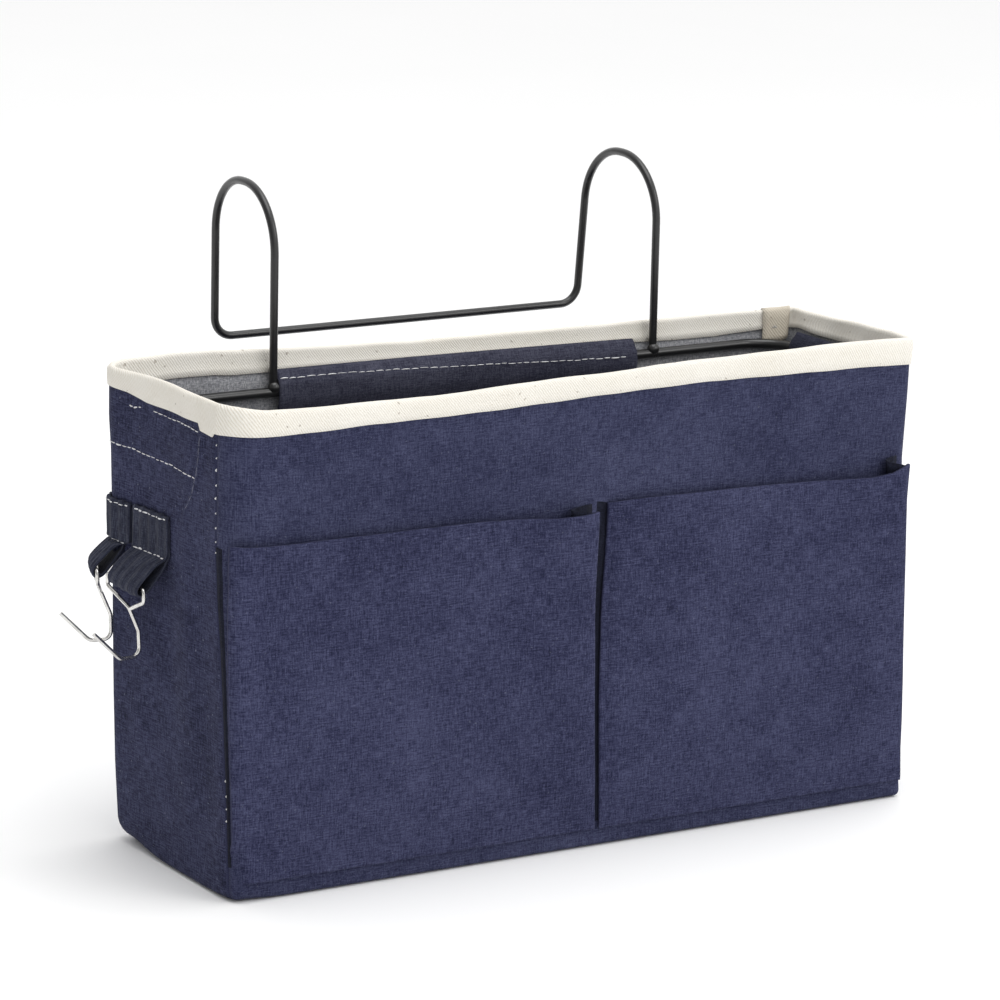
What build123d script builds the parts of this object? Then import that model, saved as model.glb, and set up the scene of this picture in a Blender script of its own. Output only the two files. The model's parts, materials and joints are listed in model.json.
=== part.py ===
from build123d import *
import math
import os

# Hanging fabric storage caddy (shoe / bedside organizer) with a wire double hook.
# Units: mm.  +Z up, +X along the width, the front (pocket side) faces -Y,
# the double hook reaches over a rail behind the bag (+Y).
# Origin: centre of the underside of the bag.

os.makedirs("parts", exist_ok=True)

# ---------------------------------------------------------------- driving sizes
BAG_W = 380.0            # width at the base
BAG_W_TOP = 382.0        # width at the rim
BAG_H = 235.0            # height to the top of the rim tape
FRONT_Y0, FRONT_Y1 = -60.3, -54.0    # outside of the front wall at base / rim
BACK_Y0, BACK_Y1 = 60.3, 62.0        # outside of the back wall at base / rim
R_FRONT = 10.0           # plan radius of the two front corners
R_BACK = 16.0            # plan radius of the two rear corners

T_CANVAS = 1.2           # outer canvas
T_BOARD = 2.0            # stiffener board
T_LINING = 0.8           # inner cloth
T_WALL = T_CANVAS + T_BOARD + T_LINING
T_BASE_BOARD = 3.0
T_TAPE = 1.0             # rim tape, folded over the wall
TAPE_OUT = 14.5          # tape height outside
TAPE_IN = 13.0           # tape height inside
WALL_TOP = BAG_H - T_TAPE

D_HOOK_WIRE = 4.0        # coated wire of the double hook
D_RIM_WIRE = 5.0         # coated wire of the rim frame
WIRE_Y = 54.6            # plane of the rim wire's back bar and of the hook uprights
RIM_Z = 213.8            # height of the rim wire
RIM_ARM_X = 184.2        # centre of the rim wire's side arms
RIM_CORNER_R = 22.0
RIM_ARM_END_Y = -24.0    # free ends of the side arms
HOOK_X = 109.0           # half spacing of the two hooks
HOOK_BACK_X = 105.4      # half width of the low back bar
HOOK_REACH = 62.8        # upright centre to back leg centre
HOOK_TOP_Z = 311.7       # centre line at the top of the bends
HOOK_BAR_Z = 228.2       # back bar height
HOOK_BAR_Y = 122.1
HOOK_BEND_R = 31.2
HOOK_BAR_R = 10.0

SLEEVE_T = 0.9
SLEEVE_TOP_Z = 223.0
SLEEVE_LOW_Z = 195.0
BACK_SLEEVE_HALF = 103.0

POCKET_Z0, POCKET_Z1 = 10.0, 171.5
POCKET_T = 1.4
POCKET_IN_Y0, POCKET_IN_Y1 = -61.6, -62.9    # inside face at bottom / mouth
LEFT_POCKET_X = (-186.0, 2.5)
RIGHT_POCKET_X = (7.0, 186.0)
POCKET_HINGE_Y = -60.75

TAB_T = 1.2
TAB_Z0, TAB_Z1 = 150.7, 172.6
FRONT_TAB_Y = (3.0, 39.0)
REAR_TAB_Y0 = 41.2
REAR_TAB_X1 = -176.5

LOOP_HINGE_Z = 149.3
LOOP_HINGE_OUT = 1.6     # hinge line to wall
LOOP_T = 1.3
LOOP_OUT, LOOP_DROP = 12.5, 10.5
LOOP_BIGHT_R = 3.5
LOOP_ROOT_R = 1.1
FRONT_LOOP_HALF = 16.5
REAR_LOOP_HALF = 10.5
FRONT_LOOP_MID_Y = 21.0
REAR_LOOP_AZ = 158.0     # outward direction of the rear loop, degrees from +X
D_SIDE_HOOK = 2.0        # bright wire of the two small hooks


# ---------------------------------------------------------------- helpers
def half_w(z):
    return (BAG_W + (BAG_W_TOP - BAG_W) * z / BAG_H) / 2


def y_front(z):
    return FRONT_Y0 + (FRONT_Y1 - FRONT_Y0) * z / BAG_H


def y_back(z):
    return BACK_Y0 + (BACK_Y1 - BACK_Y0) * z / BAG_H


def outline(z, d):
    """Plan outline of the bag at height z, d mm inside the canvas face."""
    x, yf, yb = half_w(z) - d, y_front(z) + d, y_back(z) - d
    rf, rb = R_FRONT - d, R_BACK - d
    with BuildSketch(Plane.XY.offset(z)) as sk:
        with BuildLine():
            k = 0.70710678
            c = [(-x + rf, yf + rf), (x - rf, yf + rf), (x - rb, yb - rb), (-x + rb, yb - rb)]
            a0 = ThreePointArc((-x, yf + rf), (c[0][0] - k * rf, c[0][1] - k * rf), (-x + rf, yf))
            Line((-x + rf, yf), (x - rf, yf))
            a1 = ThreePointArc((x - rf, yf), (c[1][0] + k * rf, c[1][1] - k * rf), (x, yf + rf))
            Line((x, yf + rf), (x, yb - rb))
            a2 = ThreePointArc((x, yb - rb), (c[2][0] + k * rb, c[2][1] + k * rb), (x - rb, yb))
            Line((x - rb, yb), (-x + rb, yb))
            a3 = ThreePointArc((-x + rb, yb), (c[3][0] - k * rb, c[3][1] + k * rb), (-x, yb - rb))
            Line((-x, yb - rb), (-x, yf + rf))
        make_face()
    return sk.sketch.faces()[0]


def body(d, z0, z1):
    """Solid whose sides lie d mm inside the canvas face, from z0 to z1."""
    return Solid.make_loft([outline(z0, d).outer_wire(), outline(z1, d).outer_wire()], True)


def ring(d0, d1, z0, z1):
    """Closed wall layer between depths d0 and d1."""
    return body(d0, z0, z1) - body(d1, z0 - 1, z1 + 1)


def block(x0, x1, y0, y1, z0, z1):
    return Pos((x0 + x1) / 2, (y0 + y1) / 2, (z0 + z1) / 2) * Box(x1 - x0, y1 - y0, z1 - z0)


def write(shape, name):
    solids = list(shape.solids()) if not isinstance(shape, (list, tuple)) else [s for p in shape for s in p.solids()]
    out = solids[0] if len(solids) == 1 else Compound(solids)
    out.label = name
    export_step(out, f"parts/{name}.step")
    print(f"{name:24s} solids {len(solids)}  volume {sum(s.volume for s in solids):10.1f}")
    return out


BIG = 400.0
SEAM_Y = -46.0           # corner seams of the front panel, on the end faces
SEAM_X = 165.0           # corner seams of the back panel


def wall_split(layer):
    """Cut a wall layer at the four corner seams."""
    front = layer & block(-BIG, BIG, -BIG, SEAM_Y, -5, 300)
    back = layer & block(-SEAM_X, SEAM_X, 0, BIG, -5, 300)
    left = layer & block(-BIG, -SEAM_X, SEAM_Y, BIG, -5, 300)
    right = layer & block(SEAM_X, BIG, SEAM_Y, BIG, -5, 300)
    return front, back, left, right


# ---------------------------------------------------------------- canvas shell
canvas = ring(0.0, T_CANVAS, T_CANVAS, WALL_TOP)
front_panel, back_panel, left_end_panel, right_end_panel = wall_split(canvas)
write(front_panel, "front_panel")
write(back_panel, "back_panel")
write(left_end_panel, "left_end_panel")
write(right_end_panel, "right_end_panel")
bottom_panel = body(0.0, 0.0, T_CANVAS)
write(bottom_panel, "bottom_panel")

# ---------------------------------------------------------------- stiffener boards
BASE_TOP = T_CANVAS + T_BASE_BOARD
base_board = body(T_CANVAS + 0.4, T_CANVAS, BASE_TOP)
write(base_board, "base_board")
boards = ring(T_CANVAS, T_CANVAS + T_BOARD, BASE_TOP + 1.0, WALL_TOP - 2.0)
write(boards & block(-178, 178, -BIG, -40, -5, 300), "front_board")
write(boards & block(-164, 164, 40, BIG, -5, 300), "back_board")
write(boards & block(-BIG, -170, -42, 34, -5, 300), "left_end_board")
write(boards & block(170, BIG, -42, 34, -5, 300), "right_end_board")

# ---------------------------------------------------------------- lining
lining = ring(T_CANVAS + T_BOARD, T_WALL, BASE_TOP + 1.0, WALL_TOP)
front_lining, back_lining, left_end_lining, right_end_lining = wall_split(lining)
write(front_lining, "front_lining")
write(back_lining, "back_lining")
write(left_end_lining, "left_end_lining")
write(right_end_lining, "right_end_lining")
base_lining = body(T_CANVAS + 0.4, BASE_TOP, BASE_TOP + T_LINING)
write(base_lining, "base_lining")

# ---------------------------------------------------------------- rim tape
tape_out = ring(-T_TAPE, 0.0, BAG_H - TAPE_OUT, BAG_H)
tape_in = ring(T_WALL, T_WALL + T_TAPE, BAG_H - TAPE_IN, BAG_H)
tape_top = ring(-0.0, T_WALL, WALL_TOP, BAG_H)
rim_binding = tape_out + tape_in + tape_top
write(rim_binding, "rim_binding")

# ---------------------------------------------------------------- rim wire
rim_path = FilletPolyline(
    (-RIM_ARM_X, RIM_ARM_END_Y, RIM_Z),
    (-RIM_ARM_X, WIRE_Y, RIM_Z),
    (RIM_ARM_X, WIRE_Y, RIM_Z),
    (RIM_ARM_X, RIM_ARM_END_Y, RIM_Z),
    radius=RIM_CORNER_R,
)
rim_wire = sweep(Plane(rim_path @ 0, z_dir=rim_path % 0) * Circle(D_RIM_WIRE / 2), rim_path)
write(rim_wire, "rim_wire")

# ---------------------------------------------------------------- double hook
FOOT_Z = RIM_Z + D_RIM_WIRE / 2 + 0.02
BACK_LEG_Y = WIRE_Y + HOOK_REACH
hook_path = FilletPolyline(
    (-HOOK_X, WIRE_Y, FOOT_Z),
    (-HOOK_X, WIRE_Y, HOOK_TOP_Z),
    (-HOOK_X + 1.2, BACK_LEG_Y, HOOK_TOP_Z),
    (-HOOK_BACK_X, HOOK_BAR_Y, HOOK_BAR_Z),
    (HOOK_BACK_X, HOOK_BAR_Y, HOOK_BAR_Z),
    (HOOK_X - 1.2, BACK_LEG_Y, HOOK_TOP_Z),
    (HOOK_X, WIRE_Y, HOOK_TOP_Z),
    (HOOK_X, WIRE_Y, FOOT_Z),
    radius=(HOOK_BEND_R, 30.4, HOOK_BAR_R, HOOK_BAR_R, 30.4, HOOK_BEND_R),
)
hook_wire = sweep(Plane(hook_path @ 0, z_dir=hook_path % 0) * Circle(D_HOOK_WIRE / 2), hook_path)
write(hook_wire, "hook_wire")
print("hook wire length", round(hook_path.length, 1), "volume / section",
      round(hook_wire.volume / (3.14159265 * D_HOOK_WIRE ** 2 / 4), 1))

# weld beads that join the feet of the hook to the rim wire
beads = []
for sx in (-1, 1):
    bead = Pos(sx * HOOK_X, WIRE_Y - 0.6, RIM_Z + 2.3) * Sphere(3.1)
    bead = bead & block(-BIG, BIG, WIRE_Y - 4, WIRE_Y + 2.0, RIM_Z - 5, RIM_Z + 12)
    beads.append(bead - hook_wire - rim_wire)
write(beads, "weld_beads")


# ---------------------------------------------------------------- wire sleeves
def sleeve_profile(wall, wire, r):
    """Closed strip over the wire; wall and wire are distances along one axis,
    measured so that larger is nearer to the wall."""
    face = wire - r - 0.2 - SLEEVE_T
    t = SLEEVE_T
    outer = [(wall, SLEEVE_TOP_Z), (wall - 1.3, SLEEVE_TOP_Z), (face, RIM_Z + 4.6), (face, RIM_Z - 4.6),
             (wall - 1.3, SLEEVE_LOW_Z), (wall, SLEEVE_LOW_Z)]
    inner = [(wall, SLEEVE_TOP_Z - 3), (wall - 0.4, SLEEVE_TOP_Z - 3), (face + t, RIM_Z + 4.2),
             (face + t, RIM_Z - 4.2), (wall - 0.4, SLEEVE_LOW_Z + 3), (wall, SLEEVE_LOW_Z + 3)]
    return outer, inner


WALL_IN_BACK = y_back(RIM_Z) - T_WALL - 0.18
outer, inner = sleeve_profile(WALL_IN_BACK, WIRE_Y, D_RIM_WIRE / 2)
prof = make_face(Polyline(*[(0, a, b) for a, b in outer], close=True))
cut = make_face(Polyline(*[(0, a, b) for a, b in inner], close=True))
strip = extrude(prof - cut, BACK_SLEEVE_HALF, dir=(1, 0, 0), both=True)
# notch the free top corners where the rim tape's inner leg passes behind
tape_clear = block(-BIG, BIG, y_back(BAG_H) - T_WALL - T_TAPE - 0.25, BIG, BAG_H - TAPE_IN - 0.3, 260)
back_sleeve = strip - tape_clear
write(back_sleeve, "back_sleeve")

WALL_IN_END = half_w(RIM_Z) - T_WALL - 0.12
outer, inner = sleeve_profile(WALL_IN_END, RIM_ARM_X, D_RIM_WIRE / 2)
for sx, name in ((-1, "left_end_sleeve"), (1, "right_end_sleeve")):
    prof = make_face(Polyline(*[(sx * a, 0, b) for a, b in outer], close=True))
    cut = make_face(Polyline(*[(sx * a, 0, b) for a, b in inner], close=True))
    s = extrude(prof - cut, 58, dir=(0, 1, 0))
    s = Pos(0, -28, 0) * s
    x_in = half_w(BAG_H) - T_WALL - T_TAPE - 0.25
    lo, hi = (-BIG, -x_in) if sx < 0 else (x_in, BIG)
    s = s - block(lo, hi, -BIG, BIG, BAG_H - TAPE_IN - 0.3, 260)
    write(s, name)


# ---------------------------------------------------------------- pockets
def pocket(x0, x1):
    """Front patch with its turned-in bottom hem."""
    a, b, t = POCKET_IN_Y0, POCKET_IN_Y1, POCKET_T
    pts = [(POCKET_HINGE_Y, POCKET_Z0), (a - t, POCKET_Z0), (b - t, POCKET_Z1), (b, POCKET_Z1),
           (a, POCKET_Z0 + 1.4), (POCKET_HINGE_Y, POCKET_Z0 + 1.4)]
    f = make_face(Polyline(*[(x0, y, z) for y, z in pts], close=True))
    return extrude(f, x1 - x0, dir=(1, 0, 0))


def gusset(x):
    """Pleated side strip between the wall and the pocket edge, 0.8 mm cloth."""
    pts = [(y_front(16) - 0.25, 16), (POCKET_IN_Y0 + 0.25, 16), (POCKET_IN_Y1 + 0.25, POCKET_Z1 - 1),
           (y_front(POCKET_Z1 - 1) - 0.25, POCKET_Z1 - 1)]
    f = make_face(Polyline(*[(x - 0.4, y, z) for y, z in pts], close=True))
    return extrude(f, 0.8, dir=(1, 0, 0))


write(pocket(*LEFT_POCKET_X), "left_pocket")
write(pocket(*RIGHT_POCKET_X), "right_pocket")
write([gusset(LEFT_POCKET_X[0] + 8.0), gusset(LEFT_POCKET_X[1] - 1.2)], "left_pocket_gussets")
write([gusset(RIGHT_POCKET_X[0] + 1.2), gusset(RIGHT_POCKET_X[1] - 8.0)], "right_pocket_gussets")

# ---------------------------------------------------------------- strap tabs (sewn part)
tabs = ring(-TAB_T, 0.0, TAB_Z0, TAB_Z1)
front_tab = tabs & block(-BIG, -150, FRONT_TAB_Y[0], FRONT_TAB_Y[1], 100, 200)
rear_tab = tabs & block(-BIG, REAR_TAB_X1, REAR_TAB_Y0, BIG, 100, 200)
write(front_tab, "front_strap_tab")
write(rear_tab, "rear_strap_tab")


# ---------------------------------------------------------------- strap loops and small hooks
def loop_local(half):
    """Folded loop hanging from its hinge line: X outward, Y along the hinge, Z up."""
    with BuildSketch(Plane.XZ) as sk:
        with Locations((0, 0)):
            Circle(LOOP_ROOT_R)
        with Locations((LOOP_OUT, -LOOP_DROP)):
            Circle(LOOP_BIGHT_R)
        make_hull()
    with BuildSketch(Plane.XZ) as hole:
        run = math.hypot(LOOP_OUT, LOOP_DROP)
        ux, uz = LOOP_OUT / run, -LOOP_DROP / run
        with Locations((ux * 4.5, uz * 4.5)):
            Circle(0.35)
        with Locations((LOOP_OUT, -LOOP_DROP)):
            Circle(LOOP_BIGHT_R - LOOP_T)
        make_hull()
    return extrude(sk.sketch, half, both=True) - extrude(hole.sketch, half + 2, both=True)


BAR = (LOOP_OUT + 0.35, -LOOP_DROP - 0.65)   # bar of the small hook inside the bight


def side_hook_local(half):
    """Bright wire: bar through the loop, two converging sides, neck and J."""
    bx, bz = BAR
    w = half + 2.4
    # sides: down past the loop, then in to the neck
    ring_pts = [
        (bx - 2.4, 1.3, bz - 13.0),
        (bx, w, bz - 6.0),
        (bx, w, bz),
        (bx, -w, bz),
        (bx, -w, bz - 6.0),
        (bx - 2.4, -1.3, bz - 13.0),
        (bx - 7.4, -0.9, bz - 25.0),
        (bx - 7.6, 0.0, bz - 37.0),
        (bx + 2.6, 0.0, bz - 37.6),
        (bx + 16.6, 0.0, bz - 23.8),
    ]
    path = FilletPolyline(*ring_pts, radius=(2.2, 2.2, 2.2, 2.2, 1.6, 6.0, 4.2, 5.0))
    wire = sweep(Plane(path @ 0, z_dir=path % 0) * Circle(D_SIDE_HOOK / 2), path)
    return wire


z_h = LOOP_HINGE_Z
front_at = Location((-(half_w(z_h) + LOOP_HINGE_OUT), FRONT_LOOP_MID_Y, z_h), (0, 0, 180))
az = math.radians(REAR_LOOP_AZ)
cx, cy = -(half_w(z_h) - R_BACK), y_back(z_h) - R_BACK
rr = R_BACK + LOOP_HINGE_OUT + 0.3
rear_at = Location((cx + rr * math.cos(az), cy + rr * math.sin(az), z_h), (0, 0, REAR_LOOP_AZ))

write(front_at * loop_local(FRONT_LOOP_HALF), "front_strap_loop")
write(rear_at * loop_local(REAR_LOOP_HALF), "rear_strap_loop")
write(front_at * side_hook_local(FRONT_LOOP_HALF), "front_side_hook")
write(rear_at * side_hook_local(REAR_LOOP_HALF), "rear_side_hook")
cm = side_hook_local(FRONT_LOOP_HALF).center(CenterOf.MASS)
print("small hook: weight hangs", round(cm.X - BAR[0], 2), "mm outward of its bar")
for nm, loc in (("front", front_at), ("rear", rear_at)):
    b = loc * Pos(BAR[0], 0, BAR[1])
    ax = loc.orientation.Z
    print(nm, "loop hinge at", [round(v, 3) for v in loc.position.to_tuple()], "bar at",
          [round(v, 3) for v in b.position.to_tuple()],
          "axis", [round(math.sin(math.radians(ax)), 5), round(-math.cos(math.radians(ax)), 5), 0])
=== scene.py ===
import json
import math

import bpy
import numpy as np
from mathutils import Matrix, Vector

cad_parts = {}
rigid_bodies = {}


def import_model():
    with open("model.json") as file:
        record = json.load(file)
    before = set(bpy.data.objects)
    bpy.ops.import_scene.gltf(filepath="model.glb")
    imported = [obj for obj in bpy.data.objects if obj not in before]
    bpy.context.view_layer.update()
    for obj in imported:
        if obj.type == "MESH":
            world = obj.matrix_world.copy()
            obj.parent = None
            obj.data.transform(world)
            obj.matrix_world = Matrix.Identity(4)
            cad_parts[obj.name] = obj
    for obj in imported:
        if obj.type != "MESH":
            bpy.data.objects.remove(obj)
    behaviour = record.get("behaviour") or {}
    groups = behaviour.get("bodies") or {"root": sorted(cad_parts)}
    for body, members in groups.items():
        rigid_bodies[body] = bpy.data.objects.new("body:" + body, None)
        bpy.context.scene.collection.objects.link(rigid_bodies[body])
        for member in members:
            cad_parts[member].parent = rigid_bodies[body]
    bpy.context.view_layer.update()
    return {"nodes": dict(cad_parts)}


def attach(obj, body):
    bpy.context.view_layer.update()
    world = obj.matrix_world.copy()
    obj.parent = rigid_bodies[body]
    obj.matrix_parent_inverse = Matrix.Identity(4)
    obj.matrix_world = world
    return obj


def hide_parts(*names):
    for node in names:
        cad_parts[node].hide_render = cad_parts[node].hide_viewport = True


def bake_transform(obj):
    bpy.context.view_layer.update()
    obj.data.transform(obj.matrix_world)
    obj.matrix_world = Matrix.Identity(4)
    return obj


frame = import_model()

MM = 0.001
H = 235.0


def sm(t):
    t = np.clip(t, 0.0, 1.0)
    return t * t * (3 - 2 * t)


# ------------------------------------------------------------------ camera
def rot(az, el, roll):
    a, e, r = (math.radians(v) for v in (az, el, roll))
    back = np.array([math.sin(a) * math.cos(e), -math.cos(a) * math.cos(e), math.sin(e)])
    fwd = -back
    right = np.cross(fwd, [0, 0, 1.0])
    right /= np.linalg.norm(right)
    up = np.cross(right, fwd)
    r2 = math.cos(r) * right + math.sin(r) * up
    u2 = -math.sin(r) * right + math.cos(r) * up
    return r2, u2, fwd


FOCAL, DIST = 4.7806, 2339.0          # focal length in frame widths, distance in mm
R2, U2, FWD = rot(-31.45, 13.42, 1.3)
OFF_X, OFF_Y = 0.02031 / FOCAL * DIST, 0.0808 / FOCAL * DIST
CAM = (np.array([0, 0, 120.0]) - FWD * DIST - R2 * OFF_X + U2 * OFF_Y) * MM
cam_data = bpy.data.cameras.new("camera")
cam = bpy.data.objects.new("camera", cam_data)
bpy.context.scene.collection.objects.link(cam)
cam_data.sensor_fit = "HORIZONTAL"
cam_data.sensor_width = 36.0
cam_data.lens = FOCAL * 36.0
cam_data.clip_start, cam_data.clip_end = 0.05, 60.0
M = Matrix.Identity(4)
for i in range(3):
    M[i][0], M[i][1], M[i][2], M[i][3] = R2[i], U2[i], -FWD[i], CAM[i]
cam.matrix_world = M
bpy.context.scene.camera = cam


# ------------------------------------------------------------------ node materials
class Mat:
    """Small helper to write node materials compactly."""

    def __init__(self, name):
        self.m = bpy.data.materials.new(name)
        self.m.use_nodes = True
        self.t = self.m.node_tree
        self.t.nodes.clear()
        self.out = self.t.nodes.new("ShaderNodeOutputMaterial")
        self.b = self.t.nodes.new("ShaderNodeBsdfPrincipled")
        self.t.links.new(self.b.outputs["BSDF"], self.out.inputs["Surface"])

    def n(self, kind, **kw):
        node = self.t.nodes.new(kind)
        for k, v in kw.items():
            if k.startswith("in_"):
                continue
            setattr(node, k, v)
        return node

    def link(self, a, b):
        self.t.links.new(a, b)

    def val(self, sock, v):
        if hasattr(v, "is_linked") or hasattr(v, "links"):
            self.link(v, sock)
        else:
            sock.default_value = v

    def math(self, op, a, b=0.0, c=None, clamp=False):
        node = self.n("ShaderNodeMath", operation=op, use_clamp=clamp)
        self.val(node.inputs[0], a)
        self.val(node.inputs[1], b)
        if c is not None:
            self.val(node.inputs[2], c)
        return node.outputs[0]

    def uv(self, sx, sy, angle=0.0):
        u = self.n("ShaderNodeUVMap", uv_map="UVMap")
        mp = self.n("ShaderNodeMapping", vector_type="POINT")
        mp.inputs["Rotation"].default_value = (0, 0, angle)
        mp.inputs["Scale"].default_value = (sx, sy, 1)
        self.link(u.outputs["UV"], mp.inputs["Vector"])
        return mp.outputs["Vector"]

    def obj(self, s):
        u = self.n("ShaderNodeTexCoord")
        mp = self.n("ShaderNodeMapping")
        mp.inputs["Scale"].default_value = (s, s, s) if not hasattr(s, "__len__") else s
        self.link(u.outputs["Object"], mp.inputs["Vector"])
        return mp.outputs["Vector"]

    def noise(self, vec, scale=1.0, detail=3.0, rough=0.55, dist=0.0):
        node = self.n("ShaderNodeTexNoise")
        node.inputs["Scale"].default_value = scale
        node.inputs["Detail"].default_value = detail
        node.inputs["Roughness"].default_value = rough
        node.inputs["Distortion"].default_value = dist
        self.link(vec, node.inputs["Vector"])
        return node.outputs["Fac"]

    def sep(self, vec):
        s = self.n("ShaderNodeSeparateXYZ")
        self.link(vec, s.inputs[0])
        return s.outputs

    def ramp(self, fac, stops):
        r = self.n("ShaderNodeValToRGB")
        el = r.color_ramp.elements
        while len(el) < len(stops):
            el.new(0.5)
        for e, (p, c) in zip(el, stops):
            e.position = p
            e.color = (*c, 1.0) if len(c) == 3 else c
        self.link(fac, r.inputs["Fac"])
        return r.outputs["Color"]

    def mix(self, fac, a, b, mode="MIX"):
        m = self.n("ShaderNodeMix", data_type="RGBA", blend_type=mode)
        self.val(m.inputs[0], fac)
        for sock, v in ((m.inputs[6], a), (m.inputs[7], b)):
            if hasattr(v, "links"):
                self.link(v, sock)
            else:
                sock.default_value = (*v, 1.0) if len(v) == 3 else v
        return m.outputs[2]

    def bump(self, height, strength=0.3, dist=0.0003, normal=None):
        b = self.n("ShaderNodeBump")
        b.inputs["Strength"].default_value = strength
        b.inputs["Distance"].default_value = dist
        self.link(height, b.inputs["Height"])
        if normal is not None:
            self.link(normal, b.inputs["Normal"])
        return b.outputs["Normal"]

    def set(self, **kw):
        for k, v in kw.items():
            sock = self.b.inputs[k.replace("_", " ")]
            if hasattr(v, "links"):
                self.link(v, sock)
            else:
                sock.default_value = (*v, 1.0) if hasattr(v, "__len__") and len(v) == 3 else v


def canvas_material(name, dark, mid, light, pitch=0.00062, slub=1.0, wear=0.5):
    """Plain-weave canvas: two thread systems, slubs, soft blotches and pale fibre specks."""
    m = Mat(name)
    # threads
    vec = m.uv(1 / pitch, 1 / pitch)
    x, y, _ = m.sep(vec)
    wob = m.noise(m.uv(900, 900), 1.0, 2.0)
    x2 = m.math("ADD", x, m.math("MULTIPLY", wob, 0.5))
    y2 = m.math("ADD", y, m.math("MULTIPLY", wob, 0.5))
    sx = m.math("ABSOLUTE", m.math("SINE", m.math("MULTIPLY", x2, math.pi)))
    sy = m.math("ABSOLUTE", m.math("SINE", m.math("MULTIPLY", y2, math.pi)))
    par = m.math("MODULO", m.math("ADD", m.math("FLOOR", x2), m.math("FLOOR", y2)), 2.0)
    par = m.math("ABSOLUTE", par)
    over = m.math("GREATER_THAN", par, 0.5)
    hgt = m.math("ADD", m.math("MULTIPLY", sx, over), m.math("MULTIPLY", sy, m.math("SUBTRACT", 1.0, over)))
    # slubs along each thread system, blotches, fibre specks
    s1 = m.noise(m.uv(1500, 160), 1.0, 3.0, 0.6)
    s2 = m.noise(m.uv(160, 1500), 1.0, 3.0, 0.6)
    grain = m.noise(m.uv(1150, 1150), 1.0, 2.0, 0.7)
    blot = m.noise(m.uv(45, 45), 1.0, 4.0, 0.6)
    big = m.noise(m.uv(9, 9), 1.0, 3.0, 0.5)
    f = m.math("ADD", m.math("MULTIPLY", s1, 0.30 * slub), m.math("MULTIPLY", s2, 0.30 * slub))
    f = m.math("ADD", f, m.math("MULTIPLY", grain, 0.34))
    f = m.math("ADD", f, m.math("MULTIPLY", blot, 0.16))
    f = m.math("ADD", f, m.math("MULTIPLY", big, 0.14))
    f = m.math("ADD", f, m.math("MULTIPLY", hgt, 0.10))
    f = m.math("ADD", f, -0.14 - 0.30 * (slub - 1.0))
    col = m.ramp(f, [(0.35, dark), (0.49, mid), (0.66, light)])
    speck = m.noise(m.uv(620, 620), 1.0, 1.0, 0.5)
    speck = m.math("GREATER_THAN", speck, 0.735)
    col = m.mix(m.math("MULTIPLY", speck, 0.30 * wear), col, (0.30, 0.32, 0.40))
    m.set(Base_Color=col, Roughness=m.math("ADD", 0.80, m.math("MULTIPLY", grain, 0.15)))
    m.b.inputs["Specular IOR Level"].default_value = 0.12
    m.b.inputs["Sheen Weight"].default_value = 0.03
    m.b.inputs["Sheen Roughness"].default_value = 0.6
    m.b.inputs["Sheen Tint"].default_value = (0.55, 0.58, 0.75, 1)
    n1 = m.bump(m.math("ADD", hgt, m.math("MULTIPLY", m.math("ADD", s1, s2), 0.9)), 0.30, 0.00022)
    n2 = m.bump(m.noise(m.uv(120, 120), 1.0, 4.0, 0.6), 0.20, 0.0006, n1)
    m.set(Normal=n2)
    return m.m


def heather_material(name):
    m = Mat(name)
    a = m.noise(m.uv(1500, 420), 1.0, 3.0, 0.7)
    b = m.noise(m.uv(420, 1500), 1.0, 3.0, 0.7)
    g = m.noise(m.uv(2200, 2200), 1.0, 2.0, 0.7)
    big = m.noise(m.uv(30, 30), 1.0, 3.0, 0.5)
    f = m.math("ADD", m.math("MULTIPLY", a, 0.35), m.math("MULTIPLY", b, 0.35))
    f = m.math("ADD", f, m.math("MULTIPLY", g, 0.22))
    f = m.math("ADD", f, m.math("MULTIPLY", big, 0.10))
    col = m.ramp(f, [(0.38, (0.085, 0.088, 0.105)), (0.50, (0.26, 0.265, 0.285)), (0.63, (0.56, 0.56, 0.58))])
    m.set(Base_Color=col, Roughness=0.9)
    m.b.inputs["Specular IOR Level"].default_value = 0.2
    m.b.inputs["Sheen Weight"].default_value = 0.15
    m.set(Normal=m.bump(f, 0.35, 0.0003))
    return m.m


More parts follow.
